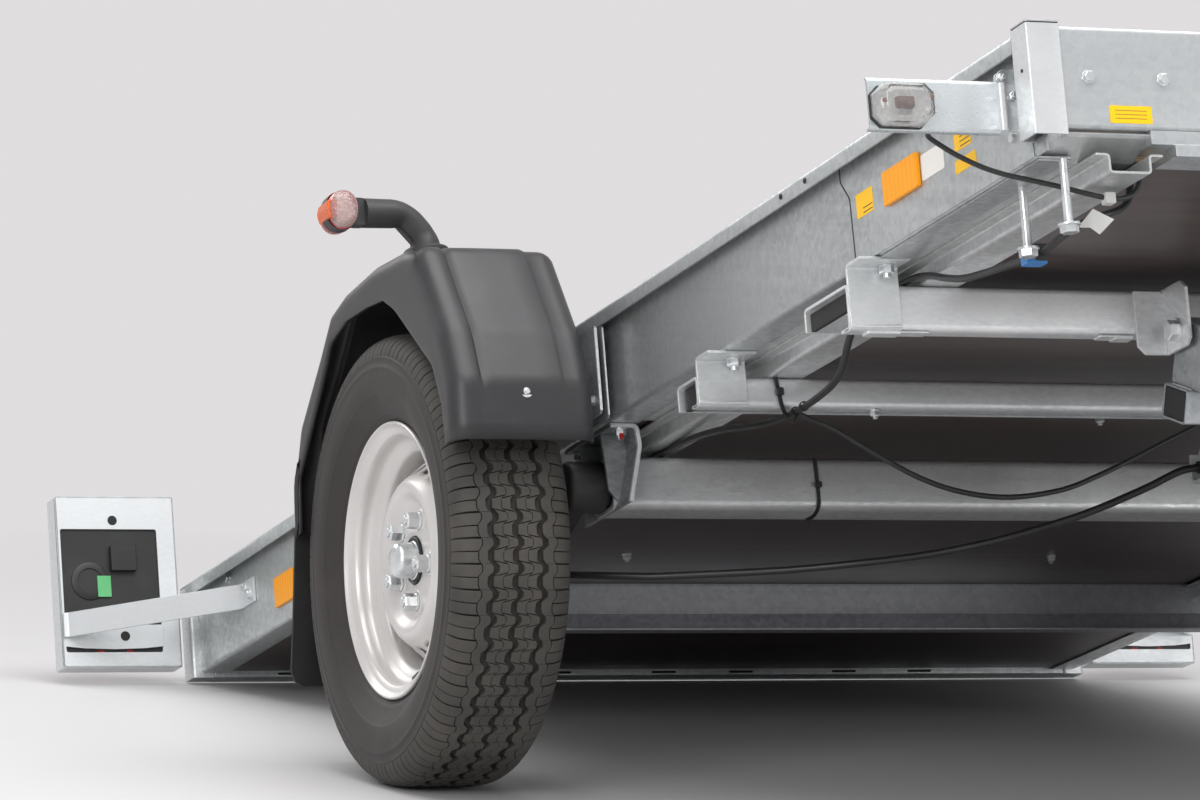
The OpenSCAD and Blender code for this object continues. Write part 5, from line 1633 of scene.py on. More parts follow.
def makeGuardPlates():
    first = True
    for side in sides:
        place = sidePlace[side]
        for name, x0, x1, z0, z1 in (("outer", -0.0115, -0.008, 0.13, 0.246),
                ("inner", -0.0008, 0.0012, 0.124, 0.246)):
            add("guard_plate_" + name + "_" + side, "dullDip", extruded,
                [(-0.296, z0 + 0.004), (-0.296, z1 - 0.002), (-0.292, z1), (-0.236, z1),
                (-0.236, z0), (-0.292, z0)], "x", x0, x1, place, bevel=0.0004,
                nodes=["guard_plates"] if first else ())
            first = False
            # A lighter steel strip wrapping each plate's front edge: a painted highlight line.
            add("guard_plate_edge_" + name + "_" + side, "post", boxPiece, (-0.2965, z0 + 0.004),
                (-0.293, z1 - 0.003), 0, "x", x0 - 0.0001, x1 + 0.0001, place, bevel=0.0004)
        add("guard_plate_web_" + side, "dullDip", extruded,
            [(-0.035, 0.15), (-0.035, 0.238), (0.0172, 0.246), (0.0172, 0.131)], "y", -0.24, -0.236,
            place)
        add("guard_plate_rear_" + side, "rail", extruded,
            [(-0.035, 0.176), (-0.035, 0.216), (0.0175, 0.24), (0.0175, 0.134)], "y", 0.25, 0.256,
            place)
        fasten("guard_plate_bolts_" + side, "hexBolt", [((-0.0115, -0.276, 0.151), (-1, 0, 0), 15),
            ((-0.01, 0.25, 0.196), (0, -1, 0), 15), ((-0.02, -0.24, 0.2), (0, -1, 0), 0)], place,
            size=0.8)


# The axle beam is a square tube that hangs in hooked brackets.
axleSet = {"low": (-0.2, 0.027), "high": (-0.13, 0.097), "wall": 0.005, "corner": 0.012}


def makeAxle():
    first = True
    for side in sides:
        place = sidePlace[side]
        path = [(0.022, 0.1295), (0.0615, 0.1295), (0.064, 0.1), (0.046, 0.026)]
        hook = extruded("axle_bracket_" + side, foldedOutline(path, 0.0055, 0.005), "y", -0.24,
            -0.084, place, finish["dullDip"], bevel=0.0008)
        # The bracket's front slice has the lighter post steel and the rest the darker dipped steel:
        # a painted lit front face.
        add("axle_bracket_front_" + side, "post", extruded, foldedOutline(path, 0.0055, 0.005), "y",
            -0.246, -0.24, place, bevel=0.0008, slot="hot_dip_steel")
        dress(hook, "bed", ["axle_brackets"] if first else ())
        first = False
        for i, y in enumerate((-0.2, -0.13)):
            add("axle_bracket_web_" + side + "_" + str(i), "dullDip", extruded,
                [(0.024, 0.1238), (0.059, 0.1238), (0.059, 0.098), (0.044, 0.032), (0.03, 0.05)],
                "y", y - 0.0055, y - 0.0002, place, slot="hot_dip_steel")
        bolts = [((0.038, -0.236, 0.1238), (0, 0, -1), 20),
            ((0.038, -0.094, 0.1238), (0, 0, -1), 50)]
        fasten("axle_bolts_" + side, "stud", bolts, place, size=1.1)
        add("bolt_mark_" + side, "red", boxPiece, (0.033, 0.108), (0.0385, 0.116), 0.001, "y",
            -0.2475, -0.2455, place, bevel=0)
    half = layout["bedWidth"] / 2 - 0.038
    (y0, z0), (y1, z1), t = axleSet["low"], axleSet["high"], axleSet["wall"]
    outer = boxOutline((y0, z0), (y1, z1), axleSet["corner"], 5)
    inner = boxOutline((y0 + t, z0 + t), (y1 - t, z1 - t), axleSet["corner"] - 0.004, 5)
    add("axle_beam_tube", "axle", hollowPiece, outer, inner, "x", -half, half, bedPlace,
        nodes=["axle_beam"])
    for side in sides:
        bead = [(0.0445 + 0.0008 * k, -0.2008, 0.034 + 0.009 * k) for k in range(7)]
        makeBead("axle_weld_" + side, bead, 0.0028, sidePlace[side])


makeFloor()
makeRearBeams()
makeGuardPlates()
makeAxle()
print("floor, axle and rear beams stand")

# Behind: the rear posts and beam, and the lamps on their carriers.
rearSet = {
    "foot": (0.001 - 0.297 + 1.484
        * math.sin(math.radians(layout["bedTip"]))) / math.cos(math.radians(layout["bedTip"])),
    "post": (0.004, 0.042),
    "slotLength": 0.042,
    "slotHeight": 0.004,
    "slotZ": 0.1284,
    "pairPitch": 0.314,
    "pairGap": 0.134,
    "carrier": {"x": (-0.203, -0.012), "z": (0.139, 0.408),
        "open": ((-0.197, 0.163), (-0.042, 0.356))},
}


def makeRearPost(side):
    place = sidePlace[side]
    (x0, x1), y0, y1 = rearSet["post"], layout["railEnd"], layout["rearY"]
    path = [(x1, y1), (x1, y0), (x0, y0), (x0, y1)]
    outline = foldedOutline(path, layout["sheet"], 0.003)
    add("rear_post_" + side + "_channel", "post", extruded, flat(outline), "z", rearSet["foot"],
        layout["railTop"], place, nodes=["rear_post_" + side])
    add("rear_post_cap_" + side, "rail", boxPiece, (x0, y0), (x1, y1 - 0.001), 0.003, "z",
        layout["railTop"] - 0.003, layout["railTop"] - 0.0002, place, bevel=0.0008)
    add("rear_post_foot_" + side, "rail", boxPiece, (x0 + 0.002, y0 + 0.003),
        (x1 - 0.002, y1 - 0.001), 0.003, "z", rearSet["foot"], rearSet["foot"] + 0.003, place,
        bevel=0.0008)
    spots = [((0.0225, y0 - 0.0002, z), (0, -1, 0), 20) for z in (0.16, 0.235)]
    fasten("rear_post_bolts_" + side, "hexBolt", spots, place, size=0.8)


def makeRearBeam():
    half = layout["bedWidth"] / 2 - 0.042
    y0, y1, low, top = (layout["railEnd"], layout["rearY"], rearSet["foot"], layout["floorTop"])
    t, middle, h = layout["sheet"], rearSet["slotZ"], rearSet["slotHeight"] / 2
    for name, path in (("low", [(y1, low), (y0, low), (y0, middle - h)]),
            ("top", [(y0, middle + h), (y0, top), (y1, top)])):
        add("rear_beam_" + name, "crossSheet", foldedBeam, path, t, 0.003, -half, half,
            nodes=["rear_beam"] if name == "low" else ())
    edges = [-half]
    for i in range(-2, 2):
        for e in (0, rearSet["pairGap"]):
            edges += [i * rearSet["pairPitch"] + e, i * rearSet["pairPitch"] + e
                + rearSet["slotLength"]]
    edges.append(half)
    pieces = []
    for x0, x1 in zip(edges[::2], edges[1::2]):
        outline = boxOutline((x0, middle - h), (x1, middle + h))
        pieces.append(([(p.x, y, p.y) for y in (y0, y0 + t) for p in outline], ringFaces(2, 4)))
    points, faces = joined(*pieces)
    web = meshPiece("rear_beam_web", points, faces, bedPlace, finish["crossSheet"])
    fixNormals(web.data)
    dress(web, "bed")
    # A near-black sheet behind the slots of the rear beam: painted shade seen through the slots.
    add("rear_beam_backing", "gap", boxPiece, (y0 + 0.004, low + 0.004), (y0 + 0.0055, top - 0.004),
        0, "x", -half + 0.002, half - 0.002, bedPlace, bevel=0)


def makeCarrier(side):
    place = sidePlace[side]
    facts = rearSet["carrier"]
    (x0, x1), (z0, z1) = facts["x"], facts["z"]
    a, b = facts["open"]
    y0, y1, t = layout["rearY"] - 0.04, layout["rearY"], layout["sheet"]
    add("rear_carrier_face_" + side, "carrier", hollowPiece, boxOutline((x0, z0), (x1, z1), 0.004),
        boxOutline(a, b, 0.004), "y", y0, y0 + t, place, nodes=["rear_lamp_carrier_" + side])
    add("rear_carrier_rim_" + side, "carrier", hollowPiece, boxOutline((x0, z0), (x1, z1), 0.004),
        boxOutline((x0 + t, z0 + t), (x1 - t, z1 - t), 0.002), "y", y0, y1, place)
    hole = [(0.0, 0.0), (0.0, 0.0075), (0.0008, 0.0075), (0.0008, 0.0)]
    spot = turnedAt(place, (-0.112, y0 - 0.0004, 0.37), 90, "Z")
    add("rear_carrier_hole_" + side, "gap", revolved, hole, 28, spot)
    lower = [(-0.1975, 0.206), (-0.04, 0.206), (-0.04, 0.172), (-0.07, 0.169), (-0.119, 0.1675),
        (-0.168, 0.169), (-0.1975, 0.172)]
    add("rear_carrier_plate_" + side, "carrier", extruded, lower, "y", y0 - 0.001, y0 + 0.0015,
        place)
    spot = turnedAt(place, (-0.102, y0 - 0.0014, 0.188), 90, "Z")
    add("rear_plate_hole_" + side, "gap", revolved, hole, 28, spot)
    for i, x in enumerate((-0.146, -0.1)):
        add("rear_lamp_glint_" + side + "_" + str(i), "red", boxPiece, (x, 0.1625),
            (x + 0.01, 0.1665), 0, "y", 1.447, 1.4482, place, bevel=0, slot="red_lens")
    path = [(-0.2, y0 - 0.0015), (-0.192, y0 - 0.0025), (0.015, 1.23), (0.0179, 1.218),
        (0.0179, 1.166)]
    outline = foldedOutline(path, 0.004, 0.006)
    add("rear_stay_" + side, "carrier", extruded, flat(outline), "z", 0.186, 0.224, place,
        bevel=0.0008)
    spots = [((0.0138, 1.2, 0.212), (-1, 0, 0), 25), ((0.0138, 1.18, 0.198), (-1, 0, 0), 5),
        ((0.0178, 1.286, 0.246), (-1, 0, 0), 50)]
    fasten("rear_stay_bolts_" + side, "hexBolt", spots, place, size=0.85)
    nuts = [((x, y0 + t, z), (0, 1, 0), 15) for x in (x0 + 0.012, x1 - 0.012)
        for z in (z0 + 0.014, z1 - 0.014)]
    fasten("rear_carrier_nuts_" + side, "stud", nuts, place, size=0.7)


# A rear lamp: a shallow black tray behind a domed lens of four fields.
rearLampSet = {"x": (-0.186, -0.029), "z": (0.178, 0.352), "tray": 1.464, "round": 0.016,
    "fields": (("amber", 0.78, 1.0, "amber"), ("red_top", 0.42, 0.765, "red"),
    ("clear", 0.24, 0.405, "clear"), ("red_low", 0.0, 0.225, "red"))}


def makeRearLamp(side, first):
    place = sidePlace[side]
    (x0, x1), (z0, z1), y = rearLampSet["x"], rearLampSet["z"], rearLampSet["tray"]
    r = rearLampSet["round"]

    def outline(cut):
        return flat(boxOutline((x0 + cut, z0 + cut), (x1 - cut, z1 - cut), r - cut * 0.6, 6))
    add("rear_lamp_tray_" + side, "black", lofted, [(1.4485, outline(0.01)), (1.45, outline(0.004)),
        (y - 0.002, outline(0.0)), (y, outline(0.0005))], place,
        nodes=["rear_lamps"] if first else ())
    for name, low, high, colour in rearLampSet["fields"]:
        a, b = z0 + 0.004 + (z1 - z0 - 0.008) * low, z0 + 0.004 + (z1 - z0 - 0.008) * high
        rows = []
        for level, cut in ((y - 0.001, 0.0), (y + 0.01, 0.0008), (y + 0.0145, 0.003),
                (y + 0.0168, 0.0075), (y + 0.0178, 0.014)):
            rows.append((level, flat(boxOutline((x0 + 0.004 + cut, a + 0.4 * cut),
                (x1 - 0.004 - cut, b - 0.4 * cut), 0.006, 4))))
        add("rear_lamp_" + name + "_" + side, colour, lofted, rows, place, bevel=0.0004,
            slot="red_lens" if colour == "red" else "clear_lens")
    add("rear_lamp_back_" + side, "black", boxPiece, (-0.1985, 0.16), (-0.03, 0.358), 0.006, "y",
        1.448, 1.45, place, bevel=0.0006)
    middle = turnedAt(place, (-0.152, 1.4485, 0.275), 90, "Z")
    boss = [(0.0, 0.0), (0.0, 0.03), (-0.002, 0.0296), (-0.0032, 0.027), (-0.0032, 0.02),
        (-0.0015, 0.019), (-0.0015, 0.0)]
    add("rear_lamp_boss_" + side, "black", revolved, boss, 40, middle)
    add("rear_lamp_plug_" + side, "black", boxPiece, (-0.119, 0.29), (-0.078, 0.33), 0.003, "y",
        1.438, 1.45, place, bevel=0.0012)
    add("rear_lamp_label_" + side, "greenTag", boxPiece, (-0.141, 0.25), (-0.1195, 0.283), 0.001,
        "y", 1.4444, 1.4482, place, bevel=0.0002)


for side in sides:
    makeRearPost(side)
    makeCarrier(side)
    makeRearLamp(side, side == "right")
makeRearBeam()
print("rear end stands")

# The swing arms carry the stub axles; each has a stamped brake plate behind its drum.
armSet = {"pivot": (-0.165, 0.062), "pivotRadius": 0.034, "endRadius": 0.027}


# The outline of two circles and the tangents between them, as (y, z).
def tangentOutline(first, firstRadius, second, secondRadius, steps=14):
    a, b = Vector(first), Vector(second)
    along = math.atan2(b.y - a.y, b.x - a.x)
    spread = math.acos((firstRadius - secondRadius) / (b - a).length)
    outline = []
    for centre, radius, start, end in ((a, firstRadius, along + spread,
            along + 2 * math.pi - spread), (b, secondRadius, along - spread, along + spread)):
        for k in range(steps + 1):
            angle = start + (end - start) * k / steps
            outline.append((centre.x + radius * math.cos(angle),
                centre.y + radius * math.sin(angle)))
    return outline


def makeSwingArm(side):
    place = sidePlace[side]
    pivot, r0, r1 = armSet["pivot"], armSet["pivotRadius"], armSet["endRadius"]
    outline = tangentOutline(pivot, r0 - 0.004, (0, 0), r1 - 0.002)
    add("swing_arm_" + side + "_web", "black", extruded, outline, "x", -0.018, 0.013, place,
        bevel=0.003, nodes=["swing_arm_" + side])
    here = place @ Matrix.Translation((0, pivot[0], pivot[1]))
    barrel = [(-0.02, 0.0), (-0.02, 0.0285), (-0.0185, 0.031), (-0.012, r0), (0.033, r0),
        (0.0365, 0.032), (0.0378, 0.029), (0.0378, 0.0)]
    add("swing_arm_barrel_" + side, "black", revolved, barrel, 48, here)
    end = [(-0.0275, 0.0), (-0.0275, 0.022), (-0.026, 0.0255), (-0.023, r1), (0.013, r1),
        (0.0155, 0.025), (0.016, 0.0)]
    add("swing_arm_end_" + side, "black", revolved, end, 48, place)
    fasten("swing_arm_bolt_" + side, "bigBolt", [((-0.02, *pivot), (-1, 0, 0), 10)], place,
        size=0.9, look="dullDip")
    fasten("stub_nut_" + side, "bigBolt", [((0.016, 0, 0), (1, 0, 0), 25)], place, look="dullDip")
    plate = [(-0.034, 0.028), (-0.034, 0.05), (-0.0325, 0.056), (-0.03, 0.06), (-0.03, 0.086),
        (-0.0325, 0.093), (-0.0335, 0.1), (-0.031, 0.1036), (-0.0285, 0.1036), (-0.0285, 0.098),
        (-0.027, 0.086), (-0.027, 0.06), (-0.028, 0.028)]
    add("brake_plate_" + side, "drum", revolved, plate, 72, place, closed=True,
        slot="moulded_black", nodes=["brake_plates"] if side == "right" else ())
    spots = [((-0.028, 0.042 * math.cos(a), 0.042 * math.sin(a)), (1, 0, 0), 0)
        for a in (math.pi / 4 + math.pi / 2 * k for k in range(4))]
    fasten("brake_plate_bolts_" + side, "hexBolt", spots, place, size=0.9, look="dullDip")


# Pivot brackets on the front beam, with the bolts that the drawbar swings on.
pivotSet = {"out": 0.405, "in": 0.47, "plate": 0.005, "y": -1.082, "z": 0.05}


def makePivots(side, first):
    place = sidePlace[side]
    face, top, t = beamSet["front"]["y"], layout["beamZ"], pivotSet["plate"]
    outline = [(face, top), (face - 0.05, top), (face - 0.062, top - 0.01), (face - 0.062, 0.035),
        (face - 0.052, 0.027), (face, 0.027)]
    for name, x in (("outer", pivotSet["out"]), ("inner", pivotSet["in"])):
        add("pivot_plate_" + name + "_" + side, "hotDip", extruded, outline, "x", x, x + t, place,
            bevel=0.001, nodes=["pivot_brackets"] if first and name == "outer" else ())
        makeBead("pivot_weld_" + name + "_" + side, [(x - 0.001, face - 0.003, 0.1),
            (x - 0.001, face - 0.003, 0.034)], 0.0022, place)
    a, b = pivotSet["out"], pivotSet["in"] + t
    for name, outline in (("outer", [(a - 0.038, top - 0.002), (a, top - 0.002), (a, 0.027),
            (a - 0.028, 0.027), (a - 0.038, 0.037)]), ("inner",
            boxOutline((b, 0.037), (b + 0.03, top - 0.002)))):
        add("pivot_flange_" + name + "_" + side, "hotDip", extruded, outline, "y", face - t, face,
            place, bevel=0.001)
    ends = [((pivotSet["out"], pivotSet["y"], pivotSet["z"]), (-1, 0, 0), 10),
        ((b, pivotSet["y"], pivotSet["z"]), (1, 0, 0), 40)]
    heads = fasten("pivot_bolt_heads_" + side, "bigBolt", ends, place, size=0.9)
    if first:
        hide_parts("pivot_bolts")
    add("pivot_bolt_shaft_" + side, "zinc", revolved,
        [(pivotSet["out"] - 0.001, 0.0), (pivotSet["out"] - 0.001, 0.0079), (b + 0.015, 0.0079),
        (b + 0.016, 0.0068), (b + 0.016, 0.0)], 32, place
        @ Matrix.Translation((0, pivotSet["y"], pivotSet["z"])))


def makeCableBracket():
    y0, top = -0.53, layout["beamZ"]
    line = [(y0 + 0.0025, top - 0.001), (y0 + 0.0025, top - 0.034), (-0.462, 0.0165),
        (-0.4325, 0.0165), (-0.4325, 0.052)]
    outline = foldedOutline(line, 0.005, 0.006)
    add("cable_bracket_strap", "cleat", extruded, outline, "x", -0.012, 0.012, bedPlace,
        bevel=0.0008, nodes=["cable_bracket"])
    add("cable_bracket_rib", "cleat", extruded, [(y0, top), (y0, top - 0.032), (-0.47, 0.0145),
        (-0.4335, 0.0145), (-0.4335, 0.05), (y0 + 0.04, top)], "x", -0.002, 0.002, bedPlace,
        bevel=0.0006)
    for x in (-0.0075, 0.0075):
        add("cable_grommet_" + ("a" if x < 0 else "b"), "black", revolved,
            [(-0.0055, 0.0), (-0.0055, 0.0075), (-0.002, 0.0082), (0.002, 0.0082), (0.0055, 0.0075),
            (0.0055, 0.0)], 24, bedPlace @ Matrix.Translation((x, -0.45, 0.031)))


for side in sides:
    makeSwingArm(side)
    makePivots(side, side == "right")
makeCableBracket()
print("arms, brackets and bolts stand")

# The drawbar: two bent box tubes that meet at a nose, with the coupling and the jockey wheel.
barSet = {"low": -0.066, "top": 0.014, "width": 0.05, "corner": 0.005,
    "line": ((-0.33, 0.018), (-0.33, -0.13), (-0.065, -1.5))}


# A box tube along a line of (x, y) between two heights, with true mitres.
def barTube(name, line, width, low, top, corner, place, material):
    section = boxOutline((-width / 2, low), (width / 2, top), corner, 3)
    line = [Vector(p) for p in line]
    columns = [offsetLine(line, p.x) for p in section]
    points = [(columns[k][i].x, columns[k][i].y, section[k].y) for i in range(len(line))
        for k in range(len(section))]
    obj = meshPiece(name, points, ringFaces(len(line), len(section)), place, material, 30)
    fixNormals(obj.data)
    return obj


def makeDrawbarArm(side):
    place = barSide[side]
    low, top, w = barSet["low"], barSet["top"], barSet["width"]
    line = [Vector(p) for p in barSet["line"]]
    x = barSet["line"][0][0]
    tube = barTube("drawbar_arm_" + side + "_tube", line, w, low, top, barSet["corner"], place,
        finish["bar"])
    dress(tube, "drawbar", ["drawbar_arm_" + side])
    a, b = offsetLine(line, w / 2 + 0.0004)[1], offsetLine(line, -w / 2 - 0.0004)[1]
    seam = [(a.x, a.y, low + 0.004), (a.x, a.y, top - 0.004),
        (a.x * 0.99 + b.x * 0.01, a.y, top + 0.0002), (b.x, b.y, top + 0.0002),
        (b.x, b.y, top - 0.004), (b.x, b.y, low + 0.004)]
    makeBead("drawbar_mitre_" + side, seam, 0.002, place, "drawbar")
    onBar("drawbar_end_plug_" + side, "black", boxPiece, (x - w / 2 + 0.004, low + 0.004),
        (x + w / 2 - 0.004, top - 0.004), 0.003, "y", 0.0179, 0.0184, place, bevel=0.0002)
    ring = [(-0.0006, 0.0084), (-0.0006, 0.0135), (0.0, 0.014), (w, 0.014), (w + 0.0006, 0.0135),
        (w + 0.0006, 0.0084)]
    onBar("drawbar_bush_" + side, "zinc", revolved, ring, 36,
        place @ Matrix.Translation((x - w / 2, 0, 0)), closed=True)
    lower = [(x - w / 2, y, low - 0.0006) for y in (-0.03, 0.014)]
    makeBead("cross_tube_weld_" + side, lower, 0.0022, place, "drawbar")
    nose = [(-0.0405, -1.76, z) for z in (low + 0.01, top - 0.01)]
    makeBead("nose_weld_" + side, [(-0.09, -1.4995, top + 0.0002), (-0.04, -1.502, top + 0.0002)],
        0.0022, place, "drawbar")
    makeBead("nose_side_weld_" + side, nose, 0.0016, place, "drawbar")


def makeDrawbarFront():
    low, top = barSet["low"], barSet["top"]
    outer = boxOutline((-0.034, low - 0.042), (0.026, low), 0.005)
    inner = boxOutline((-0.031, low - 0.039), (0.023, low - 0.003), 0.002)
    onBar("drawbar_cross_tube_steel", "bar", hollowPiece, outer, inner, "x", -0.361, 0.361,
        barPlace, nodes=["drawbar_cross_tube"])
    for side in sides:
        onBar("cross_tube_plug_" + side, "black", boxPiece, (-0.0305, low - 0.0385),
            (0.0225, low - 0.0035), 0.002, "x", -0.3605, -0.356, barSide[side], bevel=0.001)
    outer = boxOutline((-0.04, low), (0.04, top), 0.006)
    inner = boxOutline((-0.036, low + 0.004), (0.036, top - 0.004), 0.003)
    onBar("drawbar_nose_tube", "bar", hollowPiece, outer, inner, "y", -1.78, -1.44, barPlace,
        nodes=["drawbar_nose"])
    shape = [(-0.04, -1.54), (0.04, -1.54), (0.09, -1.48), (0.16, -1.1), (-0.16, -1.1),
        (-0.09, -1.48)]
    onBar("drawbar_gusset_plate", "bar", extruded, shape, "z", low - 0.008, low, barPlace,
        bevel=0.0015, nodes=["drawbar_gusset"])
    for side in sides:
        line = [(-0.089, -1.478, low - 0.001), (-0.159, -1.102, low - 0.001)]
        makeBead("gusset_weld_" + side, line, 0.0022, barSide[side], "drawbar")


# The coupling: a pressed steel hand over the ball, with its lever and grip.
couplingSet = {"ball": -1.9, "centre": -0.026, "head": 0.042, "lift": 0.034}


def makeCoupling():
    yc, zc, r = couplingSet["ball"], couplingSet["centre"], couplingSet["head"]
    top = zc + couplingSet["lift"]

    def ring(y, half, low, high, corner):
        return y, flat(boxOutline((-half, zc + low), (half, zc + high), corner, 5))
    onBar("coupling_neck", "hotDip", lofted, [ring(yc + 0.12, 0.0375, -0.0215, 0.0215, 0.008),
        ring(yc + 0.085, 0.0375, -0.0215, 0.022, 0.009),
        ring(yc + 0.062, 0.037, -0.021, 0.029, 0.012), ring(yc + 0.045, 0.037, -0.021, 0.032,
        0.014), ring(yc + 0.029, 0.0355, -0.021, 0.0325, 0.014)], barPlace, nodes=["coupling_head"])
    upright = turnedAt(barPlace, (0, yc, zc), -90, "Y")
    dome = [(0.0335, 0.0), (0.033, 0.017), (0.03, 0.027), (0.0235, 0.0355), (0.014, 0.0405),
        (0.0, r), (-0.024, r), (-0.03, 0.0412), (-0.03, 0.0375), (-0.024, 0.0262), (0.0, 0.0258),
        (0.015, 0.021), (0.024, 0.01), (0.0258, 0.0)]
    onBar("coupling_bowl", "hotDip", revolved, dome, 56, upright)
    onBar("coupling_lip", "hotDip", lofted, [ring(yc - 0.061, 0.02, -0.029, -0.014, 0.006),
        ring(yc - 0.056, 0.027, -0.0295, -0.006, 0.006),
        ring(yc - 0.04, 0.0295, -0.0298, -0.001, 0.006),
        ring(yc - 0.028, 0.0298, -0.0298, 0.0, 0.006)], barPlace)
    onBar("coupling_flange", "hotDip", lofted, [ring(yc + 0.229, 0.029, 0.0405, 0.0455, 0.002),
        ring(yc + 0.1, 0.0295, 0.0405, 0.0455, 0.002), ring(yc + 0.08, 0.029, 0.025, 0.044, 0.005),
        ring(yc + 0.062, 0.028, 0.02, 0.04, 0.006)], barPlace)
    spots = [((0, yc + y, zc + 0.0455), (0, 0, 1), 20) for y in (0.15, 0.205)]
    fasten("coupling_bolts", "bigBolt", spots, barPlace, "drawbar", size=0.62)
    spots = [((side * 0.0375, yc + 0.1, zc), (side, 0, 0), 30) for side in (-1, 1)]
    fasten("coupling_side_bolts", "bigBolt", spots, barPlace, "drawbar", size=0.6)

    onBar("coupling_lever_foot", "dullDip", lofted, [(yc - 0.0095,
        flat(boxOutline((-0.013, top + 0.0005), (0.013, top + 0.01), 0.004, 4))),
        (yc + 0.01, flat(boxOutline((-0.0148, top + 0.0005), (0.0148, top + 0.0175), 0.005, 4))),
        (yc + 0.048, flat(boxOutline((-0.014, top + 0.0005), (0.014, top + 0.0178), 0.006, 4)))],
        barPlace, slot="moulded_black", nodes=["coupling_lever"])
    line = catmull([(0, yc + 0.035, top + 0.015), (0, yc + 0.065, top + 0.0235),
        (0, yc + 0.1, top + 0.032), (0, yc + 0.14, top + 0.042), (0, yc + 0.178, top + 0.05)], 6)

    def gripSection(share):
        wide = 0.0105 - 0.003 * math.exp(-((share - 0.25) / 0.12) ** 2) - (0.004 if share > 0.97
            else 0)
        thick = 0.0055 + 0.0006 * math.sin(share * 40) * (share > 0.4) - (0.002 if share > 0.97
            else 0)
        return [(thick * math.sin(a), wide * math.cos(a))
            for a in (2 * math.pi * k / 20 for k in range(20))]
    onBar("coupling_grip", "redGrip", swept, line, gripSection, barPlace, smooth=50,
        start=(0, 0, 1))


# The jockey wheel: a tube in its clamp, with a crank on top and a solid tyre in a fork below.
jockeySet = {"x": 0.073, "y": -1.57, "radius": 0.1, "tube": 0.024}


